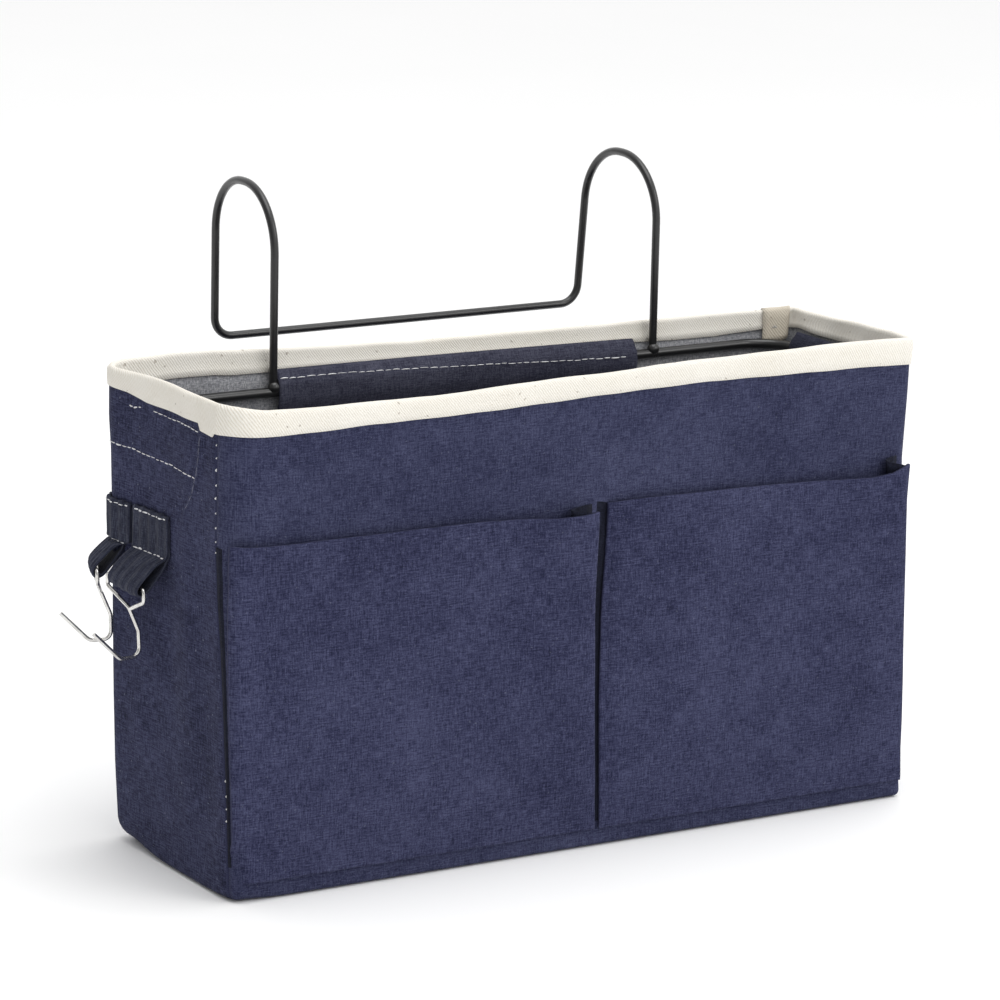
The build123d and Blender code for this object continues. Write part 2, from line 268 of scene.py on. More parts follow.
def tape_material(name, twill=0.0011, tone=(0.80, 0.77, 0.705)):
    """Cream cotton twill: diagonal ribs, broken by thread noise, with a few seed specks."""
    m = Mat(name)
    vec = m.uv(1.0, 1.0)
    x, y, _ = m.sep(vec)
    d = m.math("ADD", m.math("MULTIPLY", x, 0.80 / twill), m.math("MULTIPLY", y, 0.60 / twill))
    wob = m.noise(m.uv(260, 260), 1.0, 2.0)
    d = m.math("ADD", d, m.math("MULTIPLY", wob, 0.9))
    rib = m.math("ADD", 0.5, m.math("MULTIPLY", m.math("SINE", m.math("MULTIPLY", d, 2 * math.pi)), 0.5))
    thread = m.noise(m.uv(1700, 500), 1.0, 3.0, 0.7)
    big = m.noise(m.uv(22, 22), 1.0, 3.0, 0.55)
    f = m.math("ADD", m.math("MULTIPLY", rib, 0.30), m.math("MULTIPLY", thread, 0.34))
    f = m.math("ADD", f, m.math("MULTIPLY", big, 0.36))
    t = tone
    col = m.ramp(f, [(0.22, (t[0] * 0.80, t[1] * 0.76, t[2] * 0.68)), (0.48, t),
                     (0.78, (min(1, t[0] * 1.06), min(1, t[1] * 1.07), min(1, t[2] * 1.10)))])
    sp = m.noise(m.uv(340, 340), 1.0, 0.0, 0.5)
    sp = m.math("GREATER_THAN", sp, 0.80)
    col = m.mix(m.math("MULTIPLY", sp, 0.45), col, (0.22, 0.17, 0.12))
    m.set(Base_Color=col, Roughness=0.88)
    m.b.inputs["Specular IOR Level"].default_value = 0.12
    m.b.inputs["Sheen Weight"].default_value = 0.05
    m.set(Normal=m.bump(m.math("ADD", rib, m.math("MULTIPLY", thread, 0.6)), 0.55, 0.00028))
    return m.m


def strap_material(name):
    m = Mat(name)
    a = m.noise(m.uv(2000, 170), 1.0, 3.0, 0.65)
    b = m.noise(m.uv(300, 1500), 1.0, 3.0, 0.65)
    big = m.noise(m.uv(60, 60), 1.0, 3.0, 0.6)
    f = m.math("ADD", m.math("MULTIPLY", a, 0.5), m.math("MULTIPLY", b, 0.25))
    f = m.math("ADD", f, m.math("MULTIPLY", big, 0.25))
    col = m.ramp(f, [(0.36, (0.008, 0.0095, 0.019)), (0.5, (0.026, 0.029, 0.050)), (0.64, (0.085, 0.092, 0.125))])
    m.set(Base_Color=col, Roughness=0.85)
    m.b.inputs["Specular IOR Level"].default_value = 0.14
    m.b.inputs["Sheen Weight"].default_value = 0.04
    m.set(Normal=m.bump(f, 0.5, 0.0003))
    return m.m


def thread_material(name, tone=(0.86, 0.86, 0.88)):
    m = Mat(name)
    v = m.obj(900)
    a = m.noise(v, 1.0, 2.0, 0.6)
    twist = m.n("ShaderNodeTexWave", wave_type="BANDS", bands_direction="DIAGONAL")
    twist.inputs["Scale"].default_value = 1.4
    m.link(m.obj(1300), twist.inputs["Vector"])
    col = m.ramp(m.math("ADD", m.math("MULTIPLY", a, 0.6), m.math("MULTIPLY", twist.outputs["Fac"], 0.4)),
                 [(0.2, tuple(c * 0.72 for c in tone)), (0.7, tone)])
    m.set(Base_Color=col, Roughness=0.55)
    m.b.inputs["Sheen Weight"].default_value = 0.2
    m.set(Normal=m.bump(twist.outputs["Fac"], 0.4, 0.0002))
    return m.m


def black_wire_material(name):
    """Glossy black dip coating: slight orange peel, dust and small rubbed spots."""
    m = Mat(name)
    peel = m.noise(m.obj(260), 1.0, 3.0, 0.55)
    dust = m.noise(m.obj(1400), 1.0, 3.0, 0.75)
    rub = m.noise(m.obj(55), 1.0, 4.0, 0.65)
    col = m.ramp(dust, [(0.45, (0.0055, 0.0055, 0.006)), (0.74, (0.016, 0.016, 0.017))])
    col = m.mix(m.math("MULTIPLY", m.math("GREATER_THAN", rub, 0.70), 0.5), col, (0.035, 0.034, 0.033))
    rough = m.math("ADD", 0.20, m.math("MULTIPLY", rub, 0.22))
    m.set(Base_Color=col, Roughness=rough)
    m.b.inputs["Specular IOR Level"].default_value = 0.5
    m.b.inputs["Coat Weight"].default_value = 0.25
    m.b.inputs["Coat Roughness"].default_value = 0.15
    m.set(Normal=m.bump(peel, 0.12, 0.0004))
    return m.m


def bright_wire_material(name):
    """Plated steel wire: drawing marks, faint tarnish."""
    m = Mat(name)
    draw = m.noise(m.obj(1500), 1.0, 3.0, 0.6)
    tarn = m.noise(m.obj(180), 1.0, 4.0, 0.6)
    col = m.ramp(tarn, [(0.3, (0.50, 0.49, 0.47)), (0.6, (0.74, 0.73, 0.71)), (0.8, (0.84, 0.83, 0.81))])
    m.set(Base_Color=col, Metallic=1.0, Roughness=m.math("ADD", 0.16, m.math("MULTIPLY", draw, 0.16)))
    m.set(Normal=m.bump(draw, 0.10, 0.0001))
    return m.m


def board_material(name):
    m = Mat(name)
    a = m.noise(m.obj((300, 300, 60)), 1.0, 4.0, 0.6)
    col = m.ramp(a, [(0.3, (0.50, 0.46, 0.38)), (0.7, (0.66, 0.62, 0.53))])
    m.set(Base_Color=col, Roughness=0.75)
    m.set(Normal=m.bump(a, 0.2, 0.0003))
    return m.m


NAVY = canvas_material("navy_canvas", (0.0070, 0.0078, 0.0225), (0.0190, 0.0213, 0.0535), (0.066, 0.072, 0.134), slub=1.1)
NAVY_POCKET = canvas_material("navy_canvas_pocket", (0.0062, 0.0069, 0.0205), (0.0172, 0.0191, 0.0510), (0.066, 0.071, 0.137), slub=1.25)
# end walls: a darker copy of the navy canvas, painted shade for the ends turned away from the key light, with extra
# slubs and pale specks
NAVY_END_PAINTED_SHADE = canvas_material("navy_canvas_end_painted_shade", (0.0040, 0.0045, 0.0140), (0.0130, 0.0145, 0.0400), (0.060, 0.065, 0.125), slub=1.6, wear=1.2)
# darker canvas copy: painted shade for the right end sleeve, which sits in shadow inside the bag
NAVY_SLEEVE_PAINTED_SHADE = canvas_material("navy_canvas_sleeve_painted_shade", (0.005, 0.0053, 0.011), (0.014, 0.015, 0.027), (0.045, 0.047, 0.070))
# near-black canvas: painted shade for the dark slits beside the pockets, laid on the gussets
NAVY_PAINTED_SHADE = canvas_material("navy_canvas_painted_shade", (0.0015, 0.0017, 0.004), (0.0045, 0.005, 0.011), (0.016, 0.018, 0.034), wear=0.1)
NAVY_STRIP = canvas_material("navy_canvas_strip", (0.010, 0.0105, 0.021), (0.026, 0.027, 0.046), (0.080, 0.082, 0.115))
HEATHER = heather_material("grey_heather")
TAPE = tape_material("cream_twill")
# darker, browner tape for the folded join: painted shade where the fold sits in shadow, plus dirt
TAPE_FOLD_SHADE_AND_DIRT = tape_material("cream_twill_folded_shade_and_dirt", tone=(0.60, 0.545, 0.455))
STRAP = strap_material("strap_canvas")
THREAD = thread_material("white_thread")
THREAD_NAVY = thread_material("navy_thread", (0.06, 0.065, 0.12))
THREAD_CREAM = thread_material("cream_thread", (0.80, 0.76, 0.68))
BLACK = black_wire_material("black_coating")
STEEL = bright_wire_material("bright_steel")
BOARD = board_material("stiff_board")


# ------------------------------------------------------------------ mesh helpers
def make_mesh(name, verts, faces, uvs, material, smooth=True):
    me = bpy.data.meshes.new(name)
    me.from_pydata([tuple(v) for v in np.asarray(verts) * MM], [], [tuple(int(i) for i in f) for f in faces])
    if uvs is not None:
        layer = me.uv_layers.new(name="UVMap")
        loops = np.zeros(len(me.loops), np.int32)
        me.loops.foreach_get("vertex_index", loops)
        layer.data.foreach_set("uv", (np.asarray(uvs)[loops] * MM).astype(np.float32).ravel())
    me.validate()
    if smooth:
        me.shade_smooth()
    me.materials.append(material)
    ob = bpy.data.objects.new(name, me)
    bpy.context.scene.collection.objects.link(ob)
    return ob


def sheet_mesh(name, O, I, material, U, V, wrap=False):
    """Closed thick sheet from an outer and an inner grid, both (nu, nv, 3)."""
    nu, nv = O.shape[:2]
    verts = np.concatenate([O.reshape(-1, 3), I.reshape(-1, 3)])
    uvs = np.stack([np.broadcast_to(U, (nu, nv)).ravel(), np.broadcast_to(V, (nu, nv)).ravel()], 1)
    uvs = np.concatenate([uvs, uvs + 3.7])
    k = nu * nv
    fs = []
    iu = nu if wrap else nu - 1
    for i in range(iu):
        a, b = i * nv, ((i + 1) % nu) * nv
        for j in range(nv - 1):
            fs.append((a + j, b + j, b + j + 1, a + j + 1))
            fs.append((k + a + j, k + a + j + 1, k + b + j + 1, k + b + j))
        fs.append((a, k + a, k + b, b))
        fs.append((a + nv - 1, b + nv - 1, k + b + nv - 1, k + a + nv - 1))
    if not wrap:
        for j in range(nv - 1):
            fs.append((j, j + 1, k + j + 1, k + j))
            a = (nu - 1) * nv
            fs.append((a + j, k + a + j, k + a + j + 1, a + j + 1))
    return make_mesh(name, verts, fs, uvs, material)


def ribbon_tube(name, loops, material, U, V):
    """Closed tube: loops (nu, nv, 3), wrapped in v, capped at both u ends."""
    nu, nv = loops.shape[:2]
    verts = loops.reshape(-1, 3)
    uvs = np.stack([np.broadcast_to(U, (nu, nv)).ravel(), np.broadcast_to(V, (nu, nv)).ravel()], 1)
    fs = []
    for i in range(nu - 1):
        for j in range(nv):
            j2 = (j + 1) % nv
            fs.append((i * nv + j, (i + 1) * nv + j, (i + 1) * nv + j2, i * nv + j2))
    fs.append(tuple(range(nv)))
    fs.append(tuple((nu - 1) * nv + j for j in reversed(range(nv))))
    return make_mesh(name, verts, fs, uvs, material)


def fix_normals(ob):
    import bmesh
    bm = bmesh.new()
    bm.from_mesh(ob.data)
    bmesh.ops.recalc_face_normals(bm, faces=bm.faces)
    bm.to_mesh(ob.data)
    bm.free()
    return ob


def bevel(ob, width=0.25, segments=2):
    m = ob.modifiers.new("edge", "BEVEL")
    m.width = width * MM
    m.segments = segments
    m.limit_method = "ANGLE"
    m.angle_limit = math.radians(50)
    return ob


# ------------------------------------------------------------------ shape of the bag
def waves(x, z, seed, lx=60.0, lz=60.0, n=5):
    """Smooth repeatable unevenness, about -1 to 1."""
    rng = np.random.RandomState(seed)
    out = 0
    for i in range(n):
        a, b = rng.uniform(0.5, 1.6, 2)
        p, q = rng.uniform(0, 2 * math.pi, 2)
        out = out + math.sqrt(1 / n) * np.sin(x * 2 * math.pi * a / lx + p + 0.7 * np.sin(z * 2 * math.pi * b / lz + q))
    return out * 0.9


def corner_data(z):
    t = np.clip(z / H, 0, 1.05)
    yf = -60.3 + 6.3 * t
    return [
        (-(190.5 - 0.9 * t), yf, np.interp(z, [0, 25, 60, 96, 120, 150, 175, 235], [7.0, 7.0, 8.0, 9.5, 11.5, 15, 16, 16])),
        (np.interp(z, [0, 25, 60, 175, 205, 235], [191.6, 190.8, 190.5, 190.6, 191.6, 192.0]), yf,
         np.interp(z, [0, 25, 60, 175, 215, 235], [2.6, 4.0, 6.0, 8.0, 4.8, 3.6])),
        (190.6 + 4.6 * t ** 1.5, 60.5 - 6.2 * t ** 1.5, 8.5 - 2.0 * t),
        (-np.interp(z, [0, 12, 40, 75, 110, 150, 195, 210, 235], [191.6, 192.4, 194.2, 195.3, 196.0, 196.6, 198.2, 200.2, 201.6]),
         61.0 + 2.6 * t, np.interp(z, [0, 120, 195, 235], [9.0, 11.0, 13.0, 17.0])),
    ]


SEAM_Z = [5, 25, 58, 96, 120, 142, 161, 175, 189, 235]
SEAM_Y = [-56.2, -55.4, -53.0, -49.6, -46.9, -43.6, -42.0, -41.3, -41.2, -42.0]
COUNTS = [10, 150, 9, 46, 10, 120, 14, 48]     # samples from each marker to the next
NAMES = ["A", "B", "C", "D", "E", "F", "G", "Hh"]
START = np.concatenate([[0], np.cumsum(COUNTS)])
N = int(START[-1])


def outline(z):
    """N points and outward normals of the canvas face at height z, with marker positions."""
    c = corner_data(z)
    pts, marks, length = [], {}, 0.0
    arcs = []
    for k in range(4):
        p0, p1, p2 = np.array(c[k - 1][:2]), np.array(c[k][:2]), np.array(c[(k + 1) % 4][:2])
        r = c[k][2]
        d0, d1 = (p0 - p1) / np.linalg.norm(p0 - p1), (p2 - p1) / np.linalg.norm(p2 - p1)
        ang = math.acos(np.clip(d0 @ d1, -1, 1))
        tl = r / math.tan(ang / 2)
        a, b = p1 + d0 * tl, p1 + d1 * tl
        bis = (d0 + d1) / np.linalg.norm(d0 + d1)
        ctr = p1 + bis * (r / math.sin(ang / 2))
        a0 = math.atan2(*(a - ctr)[::-1])
        a1 = math.atan2(*(b - ctr)[::-1])
        while a1 < a0:
            a1 += 2 * math.pi
        th = np.linspace(a0, a1, 25)
        arcs.append(np.stack([ctr[0] + r * np.cos(th), ctr[1] + r * np.sin(th)], 1))
    dense, mk = [], []
    for k in range(4):
        mk.append(("arc0", k, len(dense)))
        dense.extend(arcs[k])
        mk.append(("arc1", k, len(dense) - 1))
        q = arcs[(k + 1) % 4][0]
        p = arcs[k][-1]
        n = int(max(8, np.linalg.norm(q - p) / 2.0))
        for t in np.linspace(0, 1, n)[1:-1]:
            dense.append(p + (q - p) * t)
    dense = np.array(dense)
    # the back wall bows out to the wire frame, then runs in to the right rear corner
    t = np.clip(z / H, 0, 1.05)
    on_back = dense[:, 1] > 30
    x = dense[:, 0]
    lin = c[3][1] + (c[2][1] - c[3][1]) * (x - c[3][0]) / (c[2][0] - c[3][0])
    want = 60.4 + 2.0 * t - 7.4 * t ** 1.5 * sm((x - 152) / 40)
    w = sm((x + 190) / 50) * sm((188 - x) / 12)
    dense[:, 1] = np.where(on_back, dense[:, 1] + (want - lin) * w, dense[:, 1])
    seg = np.linalg.norm(np.diff(np.concatenate([dense, dense[:1]]), axis=0), axis=1)
    cum = np.concatenate([[0], np.cumsum(seg)])
    total = cum[-1]
    pos = {(a, k): cum[i] for a, k, i in mk}
    # the left wall stays flat beside the straps and flares to the soft rear corner
    on_left = dense[:, 0] < -150
    y = dense[:, 1]
    ya, yr = c[0][1] + c[0][2], c[3][1] - c[3][2]
    f = np.clip((y - ya) / (yr - ya), 0, 1)
    flare = (abs(c[3][0]) - abs(c[0][0]))
    dense[:, 0] = np.where(on_left & (f > 0) & (f < 1), dense[:, 0] + 0.9 * flare * (f - f ** 2.6), dense[:, 0])
    # markers: A seam on the front left corner, B front start, C front end, D right seam,
    # E right end, F back start, G back end, Hh left start
    sy = float(np.interp(z, SEAM_Z, SEAM_Y))
    near = np.arange(0, 25)
    if sy <= dense[0, 1]:
        s_seam = float(np.interp(-sy, -dense[near, 1], cum[near]))
    else:
        s_seam = -(sy - dense[0, 1])
    m = [
        s_seam,
        pos[("arc1", 0)], pos[("arc0", 1)], pos[("arc1", 1)],
        pos[("arc0", 2)], pos[("arc1", 2)], pos[("arc0", 3)], pos[("arc1", 3)],
    ]
    m.append(m[0] + total)
    s = np.concatenate([np.linspace(m[i], m[i + 1], COUNTS[i], endpoint=False) for i in range(8)])
    s = s % total
    ring = np.concatenate([dense, dense[:1]])
    P = np.stack([np.interp(s, cum, ring[:, 0]), np.interp(s, cum, ring[:, 1])], 1)
    for _ in range(2):
        P = 0.5 * P + 0.25 * (np.roll(P, 1, 0) + np.roll(P, -1, 0))
    T = np.roll(P, -1, 0) - np.roll(P, 1, 0)
    T /= np.linalg.norm(T, axis=1)[:, None]
    return P, np.stack([T[:, 1], -T[:, 0]], 1)


P_MID, _ = outline(120.0)
PERIM = np.concatenate([[0], np.cumsum(np.linalg.norm(np.diff(P_MID, axis=0), axis=1))])
WALL = np.zeros(N, int)      # 0 front, 1 right, 2 back, 3 left
WALL[START[3]:START[5]] = 1
WALL[START[5]:START[7]] = 2
WALL[START[7]:N] = 3

BACK_Z = ([-197, -171, -160, -139, -128, -117, -95, -79, -62, -28, 10, 92, 141, 175, 196],
          [0.4, 0.6, 1.0, 0.6, -0.4, -0.8, -1.8, -2.7, -3.2, -4.1, -4.7, -5.4, -5.6, -5.3, -4.0])
FRONT_Z = ([-190, -184, -171, -157, -112, -82, -67, -37, -5, 26, 42, 74, 107, 157, 190],
           [-0.9, -1.4, -3.4, -4.0, -4.4, -5.0, -4.3, -3.3, -2.4, -1.9, -0.9, -0.7, -0.2, 0.3, -0.3])


def rim_lift(P):
    """Height error of the soft rim along the outline."""
    x, y = P[:, 0], P[:, 1]
    f = np.interp(x, *FRONT_Z)
    b = np.interp(x, *BACK_Z)
    k = sm((y + 50) / 100)
    d = f * (1 - k) + b * k
    return d + 0.12 * np.sin(PERIM * 2 * math.pi / 83 + 1.0) + 0.10 * np.sin(PERIM * 2 * math.pi / 37 + 2.2)


def swell(P, z):
    """Outward displacement of the soft walls."""
    x, y = P[:, 0], P[:, 1]
    t = z / H
    low = sm(z / 22)
    w = np.zeros(N)
    front, right, back, left = (WALL == i for i in range(4))
    fx = np.exp(-((x / 150) ** 4))
    w = np.where(front, fx * (0.9 * math.sin(math.pi * min(t, 1)) + 0.5 * waves(x, z, 3, 95, 120)) * low, w)
    w = np.where(back, fx * (0.8 * waves(x, z, 5, 110, 120)) * low * (1 - 0.8 * sm((z - 185) / 20)), w)
    ey = sm((y + 58) / 22) * sm((62 - y) / 18)
    lf = 0.35 * waves(y, z, 8, 46, 60)
    lf = lf + 1.1 * np.exp(-((y - 6) / 34) ** 2) * math.exp(-((z - 207) / 9) ** 2)     # wire sleeve behind
    lf = lf - 1.3 * np.exp(-((y + 2) / 24) ** 2) * math.exp(-((z - 184) / 8) ** 2)
    lf = lf - 1.1 * np.exp(-((y - 21) / 22) ** 2) * math.exp(-((z - 160) / 20) ** 2)
    # slack below the straps and soft diagonal pulls from their lower corners
    lf = lf + 0.9 * np.exp(-((y + 12 + (150 - z) * 0.12) / 9) ** 2) * math.exp(-((z - 120) / 42) ** 2)
    lf = lf - 0.8 * np.exp(-((y - 6 + (150 - z) * 0.10) / 7) ** 2) * math.exp(-((z - 112) / 40) ** 2)
    lf = lf + 0.9 * np.exp(-((y - 26 - (150 - z) * 0.05) / 10) ** 2) * math.exp(-((z - 80) / 45) ** 2)
    w = np.where(left, ey * lf * low, w)
    rt = 1.0 * math.exp(-((z - 110) / 75) ** 2) + 0.8 * waves(y, z, 11, 50, 60)
    w = np.where(right, ey * rt * low, w)
    return w


CREASE = np.array([(-27.6, 217), (-26.6, 208), (-23.8, 198), (-19.3, 188), (-10, 176)], float)


def crease(y, z):
    """Thin raised fold that runs down from the front end of the upper stitch row."""
    if z > 218 or z < 172:
        return 0 * y
    yc = np.interp(z, CREASE[::-1, 1], CREASE[::-1, 0])
    return 0.8 * np.exp(-((y - yc) / 1.5) ** 2) - 0.55 * np.exp(-((y - yc - 4.0) / 2.6) ** 2)


_cache = {}


def wall_row(z, d):
    """The whole outline at height z, d mm inside the canvas face: (N, 3)."""
    key = round(float(z), 4)
    if key not in _cache:
        P, n = outline(z)
        w = swell(P, z)
        lift = rim_lift(P) * np.clip(z / H, 0, 1) ** 5
        left = WALL == 3
        w = w + np.where(left, crease(P[:, 1], z), 0)
        _cache[key] = (P + n * w[:, None], n, lift)
    P, n, lift = _cache[key]
    q = P - n * (d if np.ndim(d) == 0 else np.asarray(d)[:, None])
    return np.concatenate([q, (z + lift)[:, None]], 1)


def foot(z):
    """Extra depth of the wall near the base, where the cloth rounds under."""
    P, _ = outline(20.0)
    rear_left = np.exp(-(np.hypot(P[:, 0] + 186, P[:, 1] - 52) / 24) ** 2)
    front_left = np.exp(-(np.hypot(P[:, 0] + 184, P[:, 1] + 57) / 13) ** 2)
    r = 3.2 + 9.5 * rear_left + 3.5 * front_left
    k = np.clip(r - z, 0, None)
    return r - np.sqrt(np.clip(r * r - k * k, 0, None))


FOOT0 = 3.2


def rows(zs, d, seam=False):
    a = np.stack([wall_row(z, d + foot(z)) for z in zs], 1)
    return a


def span(a, b):
    """Indices from marker a to marker b, both ends included."""
    i, j = START[a], START[b]
    return np.arange(i, j + 1) % N


def wall_piece(name, idx, zs, d0, d1, material, groove=0.0, hem=0.0):
    O, I = rows(zs, d0)[idx].copy(), rows(zs, d1)[idx].copy()
    if groove:
        # seam allowance turned in: the two vertical edges sink a little
        c = O - I
        c /= np.linalg.norm(c, axis=2)[:, :, None]
        L = np.abs(np.arange(len(idx)))[:, None, None] * 1.0
        k = np.exp(-(L / 1.1) ** 2) + np.exp(-((len(idx) - 1 - L) / 1.1) ** 2)
        O = O - c * groove * k
    u = PERIM[idx % N].copy()
    u = np.where(np.arange(len(idx)) + START[0] >= 0, u, u)
    ob = sheet_mesh(name, O, I, material, u[:, None], np.array(zs)[None, :])
    return ob


ZC = np.concatenate([[0.25, 0.7, 1.4, 2.3, 3.4], np.arange(5.5, 232.5, 2.6), [233.9]])
FR, RT, BK, LF = span(0, 3), span(3, 5), span(5, 6), span(6, 8)

# the two end walls take the darker canvas copy as painted shade
front_cloth = wall_piece("front_cloth", FR, ZC, 0.0, 1.15, NAVY, 0.6)
right_cloth = wall_piece("right_end_cloth", RT, ZC, 0.0, 1.15, NAVY_END_PAINTED_SHADE, 0.6)
back_cloth = wall_piece("back_cloth", BK, ZC, 0.0, 1.15, NAVY, 0.6)
left_cloth = wall_piece("left_end_cloth", LF, ZC, 0.0, 1.15, NAVY_END_PAINTED_SHADE, 0.6)
for ob, node in ((front_cloth, "front_panel"), (right_cloth, "right_end_panel"),
                 (back_cloth, "back_panel"), (left_cloth, "left_end_panel")):
    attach(ob, "bag"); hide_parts(node)

# stiffener boards between canvas and lining, following the same soft walls
ZB = np.concatenate([[6.0], np.arange(12, 216, 12.0), [220.0]])
for name, node, i0, i1 in (("front_stiffener", "front_board", START[1] + 3, START[2] - 3),
                           ("right_stiffener", "right_end_board", START[3] + 5, START[4] - 5),
                           ("back_stiffener", "back_board", START[5] + 4, START[6] - 4),
                           ("left_stiffener", "left_end_board", START[7] + 5, START[8] - 6)):
    ob = wall_piece(name, np.arange(i0, i1 + 1), ZB, 1.35, 3.1, BOARD)
    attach(ob, "bag"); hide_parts(node)

# lining
ZL = np.concatenate([[5.3], np.arange(9, 232.5, 3.6), [233.7]])
lin = []
for name, node, idx in (("front_lining_cloth", "front_lining", FR), ("right_lining_cloth", "right_end_lining", RT),
                        ("back_lining_cloth", "back_lining", BK), ("left_lining_cloth", "left_end_lining", LF)):
    slim = [1.75 * float(sm((z - 220.5) / 6)) for z in ZL]
    O = np.stack([wall_row(z, 4.0 - k) for z, k in zip(ZL, slim)], 1)[idx]
    I = np.stack([wall_row(z, 3.25 - k) for z, k in zip(ZL, slim)], 1)[idx]
    nrm = O - I
    nrm /= np.linalg.norm(nrm, axis=2)[:, :, None]
    uu = PERIM[idx % N][:, None]
    puck = 0.35 * waves(uu, np.array(ZL)[None, :], 21, 30, 45)
    win = sm((np.array(ZL) - 5) / 12) * (1 - sm((np.array(ZL) - 214) / 8))
    O = O + nrm * (0.35 + puck * win[None, :])[:, :, None] * 0.8
    ob = fix_normals(sheet_mesh(name, I, O, HEATHER, uu, np.array(ZL)[None, :]))
    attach(ob, "bag"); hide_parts(node)
    lin.append(ob)


# ------------------------------------------------------------------ bottom pieces
def cap_piece(name, profile, material, thick, node, puff=0.0, seed=1):
    """Floor piece: outline rings that shrink towards the centre line. profile: (z, depth) pairs."""
    ringsO, ringsI, vs = [], [], []
    for z, d in profile:
        r = wall_row(max(z, 0.0), d + np.maximum(0, foot(max(z, 0.25)) - (FOOT0 - math.sqrt(max(0, FOOT0 ** 2 - (FOOT0 - max(z, 0.25)) ** 2)))))
        r[:, 2] = z
        ringsO.append(r)
    base = ringsO[-1].copy()
    core = base.copy()
    core[:, 0] = np.clip(base[:, 0], -128, 128)
    core[:, 1] = 0.0
    for t in (0.12, 0.25, 0.4, 0.55, 0.7, 0.85, 1.0):
        p = base * (1 - t) + core * t
        p[:, 2] = profile[-1][0] + puff * sm(t) * (0.5 + 0.5 * waves(p[:, 0], p[:, 1], seed, 90, 70))
        ringsO.append(p)
    O = np.stack(ringsO, 1)
    I = O.copy()
    I[:, :, 2] += thick
    uvx, uvy = O[:, :, 0], O[:, :, 1]
    nu, nv = O.shape[:2]
    k = nu * nv
    verts = np.concatenate([O.reshape(-1, 3), I.reshape(-1, 3)])
    uvs = np.stack([uvx.ravel(), uvy.ravel()], 1)
    uvs = np.concatenate([uvs, uvs])
    fs = []
    for i in range(nu):
        a, b = i * nv, ((i + 1) % nu) * nv
        for j in range(nv - 1):
            fs.append((a + j, a + j + 1, b + j + 1, b + j))
            fs.append((k + a + j, k + b + j, k + b + j + 1, k + a + j + 1))
        fs.append((a, b, k + b, k + a))
    ob = make_mesh(name, verts, fs, uvs, material)
    import bmesh
    bm = bmesh.new()
    bm.from_mesh(ob.data)
    bmesh.ops.remove_doubles(bm, verts=bm.verts, dist=0.00002)
    bmesh.ops.dissolve_degenerate(bm, dist=0.00001, edges=bm.edges)
    # close the slit left along the centre line
    edges = [e for e in bm.edges if e.is_boundary]
    if edges:
        bmesh.ops.holes_fill(bm, edges=edges, sides=0)
    bmesh.ops.recalc_face_normals(bm, faces=bm.faces)
    bm.to_mesh(ob.data)
    bm.free()
    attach(ob, "bag"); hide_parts(node)
    return ob


bottom_cloth = cap_piece("bottom_cloth", [(0.75, 1.3), (0.25, 2.1), (0.02, 3.4), (0.0, 6.0)], NAVY, 1.0, "bottom_panel")
base_stiffener = cap_piece("base_stiffener", [(1.35, 3.2), (1.35, 6.0)], BOARD, 2.7, "base_board")
base_cloth = cap_piece("base_lining_cloth", [(4.4, 3.6), (4.4, 6.0)], HEATHER, 0.8, "base_lining", puff=0.5, seed=9)


# ------------------------------------------------------------------ rim tape
LOW_FRONT = ([-190, -188, -173, -159, -144, -115, -85, -54, -23, 8, 40, 72, 104, 137, 171, 190],
             [220.3, 220.4, 219.6, 219.2, 219.3, 220.2, 220.0, 220.5, 221.5, 222.8, 223.3, 223.8, 223.2, 222.9, 222.5, 221.4])
LOW_LEFT = ([-40, -36.8, -27.2, -26.2, 4, 22, 30, 36, 46, 55, 62], [218.4, 218.2, 218.9, 222.3, 222.6, 223.2, 224.4, 225.6, 226.4, 226.2, 225.5])
LOW_IN_BACK = ([-176, -160, -140, -131, -100, -60, -31, 3, 38, 55, 90, 121, 150, 167, 180],
               [224.0, 224.7, 224.4, 223.3, 222.8, 222.3, 221.8, 220.7, 219.9, 219.6, 219.8, 218.3, 217.9, 219.3, 221])


def tape_low(P):
    """Lower edge of the outside leg, with the step on the left end where the tape overlaps."""
    x, y = P[:, 0], P[:, 1]
    front = np.interp(x, *LOW_FRONT)
    left = np.interp(y, *LOW_LEFT)
    back = 221.0 + 0.4 * np.sin(x * 2 * math.pi / 90)
    z = np.where(y < -35, front, back)
    k = sm((-178 - x) / 10)
    z = np.where(y < -35, np.where(x < -188, left * sm((-40 - y) / -3) + front * (1 - sm((-40 - y) / -3)), front), z)
    lw = (x < -180) & (y >= -39.5)
    z = np.where(lw, left * k + z * (1 - k), z)
    return z + 0.12 * np.sin(PERIM * 2 * math.pi / 31)


